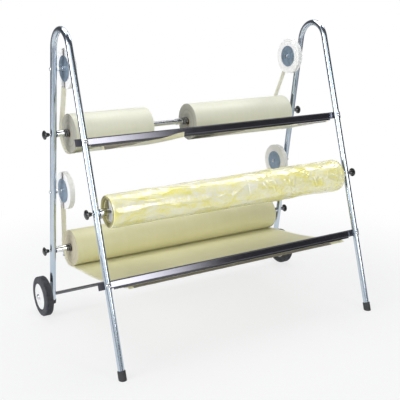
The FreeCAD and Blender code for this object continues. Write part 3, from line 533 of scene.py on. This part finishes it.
# Painted shade: a dark brown paper put on the sheets where shade falls under the rails and the upper right
# roll
PAINTED_SHADE_PAPER = paper_material("painted_shade_paper", (0.24, 0.215, 0.155), (0.17, 0.15, 0.105), 0.6, 0.7)
FILM = film_material("film", (0.99, 0.965, 0.68), (0.95, 0.875, 0.21), (1.0, 0.985, 0.86))
TAPE = tape_material("tape", (0.94, 0.935, 0.925), (0.90, 0.895, 0.88))
TAPE_WEB = tape_material("tape_web", (0.96, 0.94, 0.80), (0.92, 0.895, 0.73))

CAD_LOOKS = {
    ZINC: ("left_front_leg", "right_front_leg", "left_rear_leg", "right_rear_leg"),
    RUBBER: ("front_feet", "rear_leg_caps"),
    DARK_STEEL: ("axle",),
    BRIGHT: ("axle_push_nuts", "wheel_spacers", "spindle_plugs", "collar_screws", "rail_bolts", "hex_nuts",
             "tape_bolts"),
    ROD: ("upper_spindle", "lower_spindle", "film_spindle"),
    CHROME: ("end_collars", "middle_collar"),
    CARD: ("upper_left_paper_core", "upper_right_paper_core", "lower_paper_core"),
    FILM_CARD: ("film_core",),
    ADAPTER: ("film_adapters", "tape_hubs"),
    RAIL: ("upper_cutter_rail", "lower_cutter_rail"),
    BLADE: ("cutter_blades",),
    BLUE_PLATE: ("tape_hub_plates",),
    BRONZE: ("tape_drag_strips",),
}


def dress(node, material):
    nodes[node].data.materials.clear()
    nodes[node].data.materials.append(material)


for material, names in CAD_LOOKS.items():
    for node in names:
        dress(node, material)
for rod in ("upper", "lower", "film"):
    for side in ("left", "right"):
        dress(f"{rod}_{side}_knob_stud", BRIGHT)
        dress(f"{rod}_{side}_knob_head", KNOB)


def stand_in(piece, body, slot, *replaced):
    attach(piece, body)
    if replaced:
        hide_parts(*replaced)


# Paper rolls. The blade's place is measured from the front leg's line, square to it and down along it.
SHEET_GAP = 0.7
BLADE_BEHIND, BLADE_BELOW = 13.3, 18.25
UPPER_DROOP, LOWER_DROOP = 1.2, 10.0
ROLL_BROAD_WAVE, ROLL_FINE_WAVE = 0.5, 0.22


class Paper:
    """A paper roll hanging on its rod, and its sheet's way from the roll to the blade under a rail."""

    def __init__(self, node, rod, rail_z, droop):
        self.ends = ends_of(node)
        self.width = self.ends[1] - self.ends[0]
        self.radius = radius_of(node)
        self.centre = (rod[0], rod[1] - PAPER_SAG)
        self.droop = droop
        self.sheet_r = self.radius + SHEET_GAP
        self.blade = (front_y(rail_z) + BLADE_BEHIND * LEG_DZ - BLADE_BELOW * LEG_DY,
                      rail_z - BLADE_BEHIND * LEG_DY - BLADE_BELOW * LEG_DZ - SHEET_GAP)
        dy, dz = self.centre[0] - self.blade[0], self.centre[1] - self.blade[1]
        back = math.atan2(dz, dy) - math.asin(self.sheet_r / math.hypot(dy, dz))
        self.leave = back - math.pi / 2
        self.forward = back + math.pi

    def on_roll(self, radius, angle):
        return self.centre[0] + radius * math.cos(angle), self.centre[1] + radius * math.sin(angle)


UPPER_LEFT = Paper("upper_left_paper_roll", UPPER_ROD, UPPER_RAIL_Z, UPPER_DROOP)
UPPER_RIGHT = Paper("upper_right_paper_roll", UPPER_ROD, UPPER_RAIL_Z, UPPER_DROOP)
LOWER = Paper("lower_paper_roll", LOWER_ROD, LOWER_RAIL_Z, LOWER_DROOP)


def roll_profile(ends, core_r, radius, seed, ragged, layers, stations, edge):
    """Left face, skin and right face. The faces' layers stand out a little from each other. edge is how far
    down the faces start and how far in the skin does."""
    rng = np.random.RandomState(seed)
    rings = np.linspace(core_r, radius - edge[0], layers)
    left = [(ends[0] + ragged * rng.rand() ** 2, r) for r in rings]
    right = [(ends[1] - ragged * rng.rand() ** 2, r) for r in rings[::-1]]
    skin = [(x, radius) for x in np.linspace(ends[0] + edge[1], ends[1] - edge[1], stations)]
    return left + skin + right


def face_ends(piece, material):
    """Puts a second material on the piece's two end faces."""
    piece.data.materials.append(material)
    for polygon in piece.data.polygons:
        if abs(polygon.normal.x) > 0.5:
            polygon.material_index = 1
    return sharp(piece, 40)


def paper_roll(name, paper, face, skin, seed):
    profile = roll_profile(paper.ends, PAPER_BORE_R, paper.radius, seed, ragged=0.9, layers=46, stations=60,
                           edge=(0.4, 0.5))

    def shift(x, r, angle):
        u, v = (x - paper.ends[0]) / paper.width, angle / TAU
        outer = ease((r - paper.radius + 2) / 2)
        broad = ROLL_BROAD_WAVE * (noise_field(u, v, 9, 4, seed) - 0.5)
        fine = ROLL_FINE_WAVE * (noise_field(u, v, 40, 2, seed + 1) - 0.5)
        return 0 * x, outer * (broad + fine - ROLL_BROAD_WAVE / 2)

    return face_ends(lathe(name, profile, paper.centre, skin, 144, shift), face)


upper_face = roll_end("upper_paper_end", (0.46, 0.45, 0.39), (0.34, 0.33, 0.28), UPPER_LEFT.centre)
lower_face = roll_end("lower_paper_end", (0.62, 0.57, 0.42), (0.50, 0.45, 0.33), LOWER.centre)
for name, rolled_paper, face, skin, seed in (("upper_left", UPPER_LEFT, upper_face, UPPER_PAPER, 3),
                                             ("upper_right", UPPER_RIGHT, upper_face, UPPER_PAPER, 5),
                                             ("lower", LOWER, lower_face, LOWER_PAPER, 7)):
    roll = paper_roll(name + "_roll", rolled_paper, face, skin, seed)
    stand_in(roll, name + "_paper", "paper", name + "_paper_roll")


# Paper sheets with torn flaps. A flap has rows of (share of the width, length, degrees turned up).
UPPER_LEFT_FLAP = ((0.0, 19.0, -80.0), (0.3, 12.0, -70.0), (0.55, 6.0, -10.0), (0.62, 7.0, 30.0),
                   (1.0, 25.0, 72.0))
UPPER_RIGHT_FLAP = ((0.0, 5.0, 0.0), (0.12, 5.0, 0.0), (0.2, 9.0, -12.0), (1.0, 15.0, -30.0))
LOWER_FLAP = ((0.0, 12.0, -35.0), (0.5, 13.0, -28.0), (1.0, 16.0, -20.0))
SHEET_THICKNESS, STRIP_THICKNESS = 0.3, 0.2
SHEET_STEP = 1.25
ROLL_STEPS, FREE_STEPS, FLAP_STEPS = 11, 21, 12
ROLL_LAP = math.radians(20)
RIPPLE = 2.2
HELD_PAST_BLADE, FLAP_START, SHORTEST_FLAP = 5.0, 2.0, 3.0
FLAP_CURVED_SHARE = 0.6
TOOTH_PITCH, TOOTH_DEPTH, TEAR_DEPTH = 5.0, 1.3, 1.6
NEAR_ROLL = -150.0


def flap_size(flap, share):
    """The flap's length, and the angle that it turns up by, at a share of the sheet's width."""
    for (s0, l0, a0), (s1, l1, a1) in zip(flap, flap[1:]):
        if share <= s1:
            part = float(ease((share - s0) / (s1 - s0)))
            return l0 + (l1 - l0) * part, math.radians(a0 + (a1 - a0) * part)
    return flap[-1][1], math.radians(flap[-1][2])


def torn_edge(x, seed):
    """Length lost to the blade's teeth and to an uneven tear."""
    tooth = abs((x / TOOTH_PITCH) % 1.0 - 0.5) * 2
    return TOOTH_DEPTH * tooth + TEAR_DEPTH * noise_value(x / 1200 + 0.5, 0.5, 90, 3, seed)


def sheet_row(paper, flap, share, seed):
    """One line of the sheet, from where it leaves the roll to its torn end."""
    x = paper.ends[0] + paper.width * share
    forward = paper.forward
    row = []
    for step in range(ROLL_STEPS):
        angle = paper.leave + ROLL_LAP * (1 - step / ROLL_STEPS)
        row.append((x, *paper.on_roll(paper.sheet_r, angle)))
    start = paper.on_roll(paper.sheet_r, paper.leave)
    run = math.hypot(start[0] - paper.blade[0], start[1] - paper.blade[1])
    for t in np.linspace(0, 1, FREE_STEPS):
        ripple = noise_value(share, t / 2, 7, 4, seed) - 0.5
        lift = math.sin(math.pi * t) ** 2 * (RIPPLE * ripple - paper.droop)
        row.append((x, start[0] + run * t * math.cos(forward) - lift * math.sin(forward),
                    start[1] + run * t * math.sin(forward) - lift * math.cos(forward)))
    y = paper.blade[0] + HELD_PAST_BLADE * math.cos(forward)
    z = paper.blade[1] + HELD_PAST_BLADE * math.sin(forward)
    row.append((x, y, z))
    length, turn = flap_size(flap, share)
    length = max(length - torn_edge(x, seed), SHORTEST_FLAP)
    for step in range(FLAP_STEPS):
        heading = forward - turn * float(ease((step + 0.5) / FLAP_STEPS / FLAP_CURVED_SHARE))
        y += length / FLAP_STEPS * math.cos(heading)
        z += length / FLAP_STEPS * math.sin(heading)
        row.append((x, y, z))
    return row


def web(name, paper, flap, painted_shade_shares, roll_shade_share, seed, material, edge):
    """A sheet whose torn strip past the blade has the edge's colour, and painted shade, the dark brown paper,
    between two shares of the width, for the shade under the rail. Up to the share roll_shade_share, it has
    the same painted shade near the roll and on its underside, for the shade under the roll."""
    stations = math.ceil(paper.width / SHEET_STEP) + 1
    rows = [sheet_row(paper, flap, k / (stations - 1), seed) for k in range(stations)]
    piece = thin_sheet(name, rows, SHEET_THICKNESS, material)
    piece.data.materials.append(PAINTED_SHADE_PAPER)
    piece.data.materials.append(edge)
    for polygon in piece.data.polygons:
        x, y, z = (value / MM for value in polygon.center)
        past = (y - paper.blade[0]) * math.cos(paper.forward) + (z - paper.blade[1]) * math.sin(paper.forward)
        share = (x - paper.ends[0]) / paper.width
        # Painted shade: the dark brown paper near and under the roll, and on the torn strip under the rail
        in_roll_shade = share < roll_shade_share and (past < NEAR_ROLL or polygon.normal.z < 0)
        if in_roll_shade or past > FLAP_START and painted_shade_shares[0] < share < painted_shade_shares[1]:
            polygon.material_index = 1
        elif past > FLAP_START:
            polygon.material_index = 2
    return piece


for name, sheet_paper, flap, painted_shade_shares, roll_shade_share, seed, material, edge in (
        ("upper_left", UPPER_LEFT, UPPER_LEFT_FLAP, (0.02, 0.5), 0.0, 11, UPPER_PAPER, EDGE_PAPER),
        ("upper_right", UPPER_RIGHT, UPPER_RIGHT_FLAP, (0.68, 0.98), 0.2, 13, UPPER_PAPER, EDGE_PAPER),
        ("lower", LOWER, LOWER_FLAP, (0.02, 0.93), 0.0, 17, LOWER_PAPER, LOWER_PAPER)):
    sheet = web(name + "_sheet", sheet_paper, flap, painted_shade_shares, roll_shade_share, seed, material, edge)
    stand_in(sheet, "root", "paper_web", name + "_web")


# Film roll
FILM_SEGMENTS, FILM_STATIONS = 260, 700
FILM_SHOULDER_R = 44.0
FILM_SEAM_X, FILM_SEAM_HALF = 30.0, 2.2

# The film's folds: how long, wide and high, the most degrees off the roll's line, where along X, and how many
LONG_FOLDS = dict(lengths=(120, 380), widths=(6, 14), heights=(0.5, 1.5), slope=7,
                  places=(FILM_ENDS[0], 120), count=60, seed=23)
MIDDLE_FOLDS = dict(lengths=(50, 140), widths=(3, 7), heights=(0.7, 1.8), slope=25,
                    places=FILM_ENDS, count=160, seed=24)
SHORT_FOLDS = dict(lengths=(18, 60), widths=(2, 4.5), heights=(0.9, 2.3), slope=80,
                   places=(30, FILM_ENDS[1]), count=330, seed=25)


def film_creases(x, around, lengths, widths, heights, slope, places, count, seed):
    """Random folds on the film's skin: straight ridges with round ends, along and around."""
    rng = np.random.RandomState(seed)
    girth = TAU * FILM_R
    total = np.zeros(x.shape)
    for _ in range(count):
        along0 = rng.uniform(*places)
        around0 = rng.uniform(0, girth)
        angle = math.radians(rng.uniform(-slope, slope))
        half = rng.uniform(*lengths) / 2
        width = rng.uniform(*widths)
        height = rng.uniform(*heights)
        bend = rng.uniform(-0.12, 0.12)
        dx = x - along0
        dy = np.mod(around - around0 + girth / 2, girth) - girth / 2
        s = dx * math.cos(angle) + dy * math.sin(angle)
        t = dy * math.cos(angle) - dx * math.sin(angle) + bend * s * s / half
        ends = ease(1.2 - np.abs(s) / half)
        steep = np.where(t > 0, 0.55, 1.25)
        total = np.maximum(total, height * ends * np.exp(-np.abs(t) / (width * steep)))
    return total


def film_roll():
    x0, x1 = FILM_ENDS
    face = ((16.0, FILM_BORE_R), (3.0, FILM_BORE_R), (1.0, 44.0), (0.6, 48.0), (0.4, 52.0), (1.2, 55.0))
    left = [(x0 + inset, r) for inset, r in face]
    right = [(x1 - inset, r) for inset, r in face[::-1]]
    skin = [(x, FILM_R) for x in np.linspace(x0 + 3, x1 - 3, FILM_STATIONS)]

    def shift(x, r, angle):
        u, v = np.clip((x - x0) / (x1 - x0), 0, 1), angle / TAU
        around = angle * FILM_R
        outer = ease((r - FILM_SHOULDER_R) / (FILM_R - FILM_SHOULDER_R))
        right_part = ease((x - 20) / 120)
        swell = -1.6 + 2.2 * ease((x + 350) / 700) + 1.6 * ease((x - 340) / 60)
        lumps = 2.6 * (noise_field(u, v, 7, 3, 21) - 0.5) + 1.3 * (noise_field(u, v, 24, 7, 22) - 0.5)
        folds = film_creases(x, around, **LONG_FOLDS) * (1 - 0.5 * right_part)
        folds = folds + film_creases(x, around, **MIDDLE_FOLDS)
        folds = folds + film_creases(x, around, **SHORT_FOLDS) * right_part
        seam = -1.0 * np.exp(-((x - FILM_SEAM_X) / FILM_SEAM_HALF) ** 2)
        end = ease(1 - np.minimum(x - x0, x1 - x) / 14)
        axial = (noise_field(u * 0, v, 1, 9, 28) - 0.5) * 3.0 * end * outer
        return axial, outer * (swell + lumps + folds + seam) - 1.5 * end * outer

    piece = lathe("film_winding", left + skin + right, FILM_ROD, FILM, FILM_SEGMENTS, shift)
    # The ends are a dark olive, much darker than the film: painted shade
    piece.data.materials.append(roll_end("film_end_painted_shade", (0.50, 0.46, 0.20), (0.34, 0.31, 0.12), FILM_ROD, 0.35))
    last_skin = len(left + skin) - 1
    for polygon in piece.data.polygons:
        rings = [corner // FILM_SEGMENTS for corner in polygon.vertices]
        if max(rings) < len(left) or min(rings) > last_skin:
            polygon.material_index = 1
    return piece


stand_in(film_roll(), "film", "film", "film_roll")


# Tape reels and the strips of tape
PEEL = math.radians(-62)
STRIP_OFF_REEL, STRIP_OFF_SHEET = 0.55, 0.95
STRIP_WIDTH = 18.9
STRIP_STEPS, WRAP_STEP_DEGREES = 25, 3.0


def tape_reel(name, side, centre, seed):
    ends = sorted((side * TAPE_IN_X, side * TAPE_OUT_X))
    profile = roll_profile(ends, TAPE_CORE_R, TAPE_R, seed, ragged=0.45, layers=34, stations=6,
                           edge=(0.3, 0.3))
    face = roll_end(name + "_reel_side", (0.95, 0.945, 0.94), (0.90, 0.895, 0.89), centre, 0.55)
    body = name + "_tape_roll"
    stand_in(face_ends(lathe(name + "_reel", profile, centre, TAPE, 144), face), body, "tape", name + "_tape")
    core = [(ends[0], TAPE_BORE_R), (ends[0], TAPE_CORE_R), (ends[1], TAPE_CORE_R), (ends[1], TAPE_BORE_R)]
    stand_in(sharp(lathe(name + "_reel_core", core, centre, CARD, 96), 30), body, "card")


def strip_route(paper, reel):
    """Points from the reel, round the paper roll and along its sheet to the blade. Each is y, z and how far
    the strip has come from the reel's X to the paper's edge, from 0 to 1."""
    middle_r = paper.sheet_r + STRIP_OFF_SHEET
    start_r = TAPE_R + STRIP_OFF_REEL
    start = (reel[0] + start_r * math.cos(PEEL), reel[1] + start_r * math.sin(PEEL))
    dy, dz = paper.centre[0] - start[0], paper.centre[1] - start[1]
    reach = math.hypot(dy, dz)
    heading = math.atan2(dz, dy) + math.asin(middle_r / reach)
    length = math.sqrt(reach ** 2 - middle_r ** 2)
    arrive = heading + math.pi / 2
    leave = math.remainder(paper.leave, TAU)
    route = [(start[0] + length * t * math.cos(heading), start[1] + length * t * math.sin(heading), t)
             for t in np.linspace(0, 1, STRIP_STEPS)]
    steps = round(math.degrees(arrive - leave) / WRAP_STEP_DEGREES)
    route += [(*paper.on_roll(middle_r, angle), 1.0) for angle in np.linspace(arrive, leave, steps + 1)[1:]]
    last = route[-1]
    end_y = paper.blade[0] + STRIP_OFF_SHEET * math.cos(leave)
    end_z = paper.blade[1] + STRIP_OFF_SHEET * math.sin(leave)
    for t in np.linspace(0, 1, FREE_STEPS)[1:]:
        fall = paper.droop * math.sin(math.pi * t) ** 2
        route.append((last[0] + (end_y - last[0]) * t + fall * math.sin(paper.forward),
                      last[1] + (end_z - last[1]) * t + fall * math.cos(paper.forward), 1.0))
    return route


def tape_strip(name, side, paper, reel):
    edge = paper.ends[0] if side < 0 else paper.ends[1]
    reel_x = side * (TAPE_IN_X + TAPE_OUT_X) / 2
    rows = []
    for y, z, across in strip_route(paper, reel):
        x = reel_x + (edge - reel_x) * across
        rows.append([(x + share * STRIP_WIDTH, y, z) for share in np.linspace(-0.5, 0.5, 7)])
    return thin_sheet(name + "_strip", rows, STRIP_THICKNESS, TAPE_WEB)


TAPES = (("upper_left", -1, UPPER_LEFT, UPPER_REEL, 31), ("upper_right", 1, UPPER_RIGHT, UPPER_REEL, 32),
         ("lower_left", -1, LOWER, LOWER_REEL, 33), ("lower_right", 1, LOWER, LOWER_REEL, 34))
for name, side, paper_below, reel, seed in TAPES:
    tape_reel(name, side, reel, seed)
for name, side, paper_below, reel, seed in TAPES:
    replaced = ("tape_strips",) if name == "upper_left" else ()
    stand_in(tape_strip(name, side, paper_below, reel), "root", "tape_web", *replaced)


# Springs
SPRING_STEPS = 200


def spring(name, x0, x1, rod, body, *replaced):
    """A coil that widens from its left end to its right, with both wire ends turned along the rod."""
    path = [(x0, rod[0] + SPRING_R, rod[1])]
    for k in range(SPRING_STEPS + 1):
        share = k / SPRING_STEPS
        angle = TAU * SPRING_TURNS * share
        radius = SPRING_R + SPRING_FLARE * share
        x = x0 + 2 * WIRE_R + (x1 - x0 - 4 * WIRE_R) * share
        path.append((x, rod[0] + radius * math.cos(angle), rod[1] + radius * math.sin(angle)))
    path.append((x1, path[-1][1], path[-1][2]))
    stand_in(tube(name, path, WIRE_R, BLACK_STEEL, 14), body, "black_spring", *replaced)


UPPER_COLLAR_END = COLLAR_LENGTH - ROD_END_X
LOWER_COLLAR_END = LONG_COLLAR_LENGTH - ROD_END_X
spring("middle_coil", *ends_of("middle_spring"), UPPER_ROD, "middle_collar", "middle_spring")
spring("upper_coil", UPPER_COLLAR_END, UPPER_LEFT.ends[0] - END_GAP, UPPER_ROD, "root", "end_springs")
spring("lower_coil", LOWER_COLLAR_END, LOWER.ends[0] - END_GAP, LOWER_ROD, "root")


# Wheels
TREAD_INSET, TREAD_DROP, TREAD_STATIONS = 5.2, 0.2, 41
GROOVE_X, GROOVE_HALF, GROOVE_DEPTH = 5.6, 0.75, 1.5
SIPES, SIPE_WIDTH, SIPE_DEPTH, TREAD_BLOCK = 60, 0.16, 0.9, 2.9

# A hub's outline as (x out from the wheel's middle, radius), from the bore's inner end round to its outer end
HUB_OUTLINE = ((-17.0, 6.41), (-17.0, 14.0), (-16.3, 15.0), (6.0, 15.0), (6.4, 44.5), (-13.6, 45.0),
               (-14.4, 46.0), (-14.4, 49.3), (-13.8, 50.0), (13.8, 50.0), (14.4, 49.3), (14.4, 46.8),
               (14.0, 46.2), (13.6, 45.0), (13.3, 38.0), (13.1, 30.0), (13.2, 22.0), (13.4, 17.5),
               (14.0, 15.6), (16.2, 15.0), (17.0, 14.2), (17.0, 6.41))


def tyre(name, side):
    h = WHEEL_HALF
    wall = [(1.5 - h, RIM_R), (0.3 - h, RIM_R + 1.5), (0.1 - h, RIM_R + 4), (0.9 - h, RIM_R + 5),
            (-h, RIM_R + 6.5), (-h, RIM_R + 14), (0.6 - h, WHEEL_R - 6), (2.2 - h, WHEEL_R - 2.4),
            (4.4 - h, WHEEL_R - 0.7)]
    tread = []
    for x in np.linspace(TREAD_INSET - h, h - TREAD_INSET, TREAD_STATIONS):
        groove = min(abs(x), abs(x - GROOVE_X), abs(x + GROOVE_X))
        tread.append((x, WHEEL_R - TREAD_DROP - (GROOVE_DEPTH if groove < GROOVE_HALF else 0.0)))
    profile = wall + tread + [(-x, r) for x, r in wall[::-1]]

    def shift(x, r, angle):
        across = x - side * WHEEL_X
        on_tread = (r > WHEEL_R - 2.6) & (np.abs(across) < h - 2.0)
        column = np.floor(across / TREAD_BLOCK)
        sipe = np.mod(angle / TAU * SIPES + 0.5 * np.mod(column, 2), 1.0) < SIPE_WIDTH
        return 0 * x, np.where(on_tread & sipe, -SIPE_DEPTH, 0.0)

    profile = [(side * WHEEL_X + x, r) for x, r in profile]
    piece = lathe(name + "_tread_tyre", profile, AXLE, TYRE, 480, shift)
    stand_in(sharp(piece, 35), name + "_wheel", "tyre", name + "_tyre")


def hub(name, side):
    profile = [(side * (WHEEL_X + x), r) for x, r in HUB_OUTLINE]
    piece = lathe(name + "_moulded_hub", profile, AXLE, HUB, 144)
    stand_in(sharp(piece, 32), name + "_wheel", "white_hub", name + "_wheel_hub")


for name, side in (("left", -1), ("right", 1)):
    tyre(name, side)
    hub(name, side)


# Floor, room and lamps. The wall and the backdrop have a direction, and a cone of two angles and a level.
FLOOR_SIZE = 40.0
FLOOR_WHITE = 0.76
FLOOR_FADE, MIRROR_FADE = (0.7, 1.7), (0.9, 2.0)
ROOM_LEVEL = 0.09
WALL = (-0.73, -0.64, 0.22)
WALL_CONE = (38, 58, 1.3)
WALL_FOOT = (0.0, 0.2)
WALL_TOP = (0.5, 0.68)
BACKDROP = (0.52, 0.85, 0.0)
BACKDROP_CONE = (22, 40, 1.0)


def mix_shaders(tree, share, first, second, surface):
    mix = tree.nodes.new("ShaderNodeMixShader")
    tree.links.new(share, mix.inputs["Fac"])
    tree.links.new(first, mix.inputs[1])
    tree.links.new(second, mix.inputs[2])
    tree.links.new(mix.outputs["Shader"], surface)


def floor():
    """A pale matt floor that turns plain white away from the object, for the camera and in mirrors."""
    s = FLOOR_SIZE
    mesh = bpy.data.meshes.new("floor")
    mesh.from_pydata([(-s, -s, 0), (s, -s, 0), (s, s, 0), (-s, s, 0)], [], [(0, 1, 2, 3)])
    piece = bpy.data.objects.new("floor", mesh)
    bpy.context.scene.collection.objects.link(piece)
    material = bpy.data.materials.new("floor")
    material.use_nodes = True
    tree = material.node_tree
    shader = tree.nodes["Principled BSDF"]
    shader.inputs["Base Color"].default_value = (0.74, 0.75, 0.77, 1)
    shader.inputs["Roughness"].default_value = 0.9
    white = tree.nodes.new("ShaderNodeEmission")
    white.inputs["Color"].default_value = (1, 1, 1, 1)
    path = tree.nodes.new("ShaderNodeLightPath")
    length = tree.nodes.new("ShaderNodeVectorMath")
    length.operation = "LENGTH"
    tree.links.new(tree.nodes.new("ShaderNodeTexCoord").outputs["Object"], length.inputs[0])
    away = length.outputs["Value"]
    seen = fade(tree, away, *FLOOR_FADE, FLOOR_WHITE, 1.0)
    seen = math_node(tree, "MULTIPLY", path.outputs["Is Camera Ray"], seen)
    mirrored = math_node(tree, "MAXIMUM", path.outputs["Is Glossy Ray"], path.outputs["Is Transmission Ray"])
    mirrored = math_node(tree, "MULTIPLY", mirrored, fade(tree, away, *MIRROR_FADE, FLOOR_WHITE, 0.0))
    mix_shaders(tree, math_node(tree, "MAXIMUM", seen, mirrored), shader.outputs["BSDF"],
                white.outputs["Emission"], tree.nodes["Material Output"].inputs["Surface"])
    mesh.materials.append(material)


def toward(tree, direction, place, inner, outer, level):
    """The level inside a cone of directions round a place, fading to 0 at its outer angle."""
    dot = tree.nodes.new("ShaderNodeVectorMath")
    dot.operation = "DOT_PRODUCT"
    tree.links.new(direction, dot.inputs[0])
    dot.inputs[1].default_value = Vector(place).normalized()
    cosines = math.cos(math.radians(outer)), math.cos(math.radians(inner))
    return fade(tree, dot.outputs["Value"], *cosines, 0.0, level)


def world():
    """A dim room with a bright band on its left and front walls, and a white backdrop behind the object."""
    made = bpy.data.worlds.new("studio")
    bpy.context.scene.world = made
    made.use_nodes = True
    tree = made.node_tree
    direction = tree.nodes.new("ShaderNodeTexCoord").outputs["Generated"]
    path = tree.nodes.new("ShaderNodeLightPath")
    split = tree.nodes.new("ShaderNodeSeparateXYZ")
    tree.links.new(direction, split.inputs["Vector"])
    foot = fade(tree, split.outputs["Z"], *WALL_FOOT, 0.0, 1.0)
    top = fade(tree, split.outputs["Z"], *WALL_TOP, 1.0, 0.0)
    band = math_node(tree, "MULTIPLY", foot, top)
    wall = math_node(tree, "MULTIPLY", band, toward(tree, direction, WALL, *WALL_CONE))
    room = tree.nodes["Background"]
    room.inputs["Color"].default_value = (0.95, 0.975, 1.0, 1)
    tree.links.new(math_node(tree, "ADD", wall, ROOM_LEVEL), room.inputs["Strength"])
    white = tree.nodes.new("ShaderNodeBackground")
    white.inputs["Color"].default_value = (1, 1, 1, 1)
    white.inputs["Strength"].default_value = 1.0
    seen = math_node(tree, "MAXIMUM", path.outputs["Is Glossy Ray"], path.outputs["Is Transmission Ray"])
    seen = math_node(tree, "MULTIPLY", seen, toward(tree, direction, BACKDROP, *BACKDROP_CONE))
    seen = math_node(tree, "MAXIMUM", path.outputs["Is Camera Ray"], seen)
    mix_shaders(tree, seen, room.outputs["Background"], white.outputs["Background"],
                tree.nodes["World Output"].inputs["Surface"])


def softbox(name, place, target, size, radiance, soft_edge=None):
    """A white area lamp. soft_edge fades it between two shares of its width."""
    light = bpy.data.lights.new(name, "AREA")
    light.shape = "RECTANGLE"
    light.size, light.size_y = size
    light.energy = radiance * math.pi * size[0] * size[1]
    if soft_edge:
        light.use_nodes = True
        tree = light.node_tree
        split = tree.nodes.new("ShaderNodeSeparateXYZ")
        tree.links.new(tree.nodes.new("ShaderNodeNewGeometry").outputs["Parametric"], split.inputs["Vector"])
        level = fade(tree, split.outputs["X"], *soft_edge, 0.0, 1.0)
        tree.links.new(level, tree.nodes["Emission"].inputs["Strength"])
    lamp = bpy.data.objects.new(name, light)
    bpy.context.scene.collection.objects.link(lamp)
    lamp.location = place
    lamp.rotation_euler = (Vector(target) - Vector(place)).to_track_quat("-Z", "Y").to_euler()
    lamp.visible_camera = False


# Each lamp has its place, what it points at, its two sides and its radiance
floor()
world()
softbox("overhead", (-0.2, 0.8, 3.2), (-0.1, 0.1, 0.5), (2.8, 1.8), 3.3)
softbox("high_right", (1.9, 0.3, 2.9), (0.1, 0.0, 0.6), (1.3, 1.0), 5.0)
softbox("left", (-3.4, -0.5, 1.5), (-0.4, 0.0, 0.8), (1.6, 1.8), 6.0)
softbox("front_right", (1.12, -2.75, 1.35), (-0.1, -0.1, 0.75), (1.3, 1.6), 8.0, (0.78, 0.05))

# The photo's camera, found by fitting the object's lines
CAMERA_PLACE = (-1.4293, -2.2965, 1.1965)
CAMERA_DOWN, CAMERA_TURN = 0.2732, -0.5466
CAMERA_LENS, CAMERA_SENSOR = 67.4, 36.0
camera = bpy.data.cameras.new("camera")
camera.lens = CAMERA_LENS
camera.sensor_width = CAMERA_SENSOR
view = bpy.data.objects.new("camera", camera)
bpy.context.scene.collection.objects.link(view)
view.location = CAMERA_PLACE
view.rotation_euler = (math.pi / 2 - CAMERA_DOWN, 0.0, CAMERA_TURN)
bpy.context.scene.camera = view
bpy.context.scene.view_settings.view_transform = "Standard"
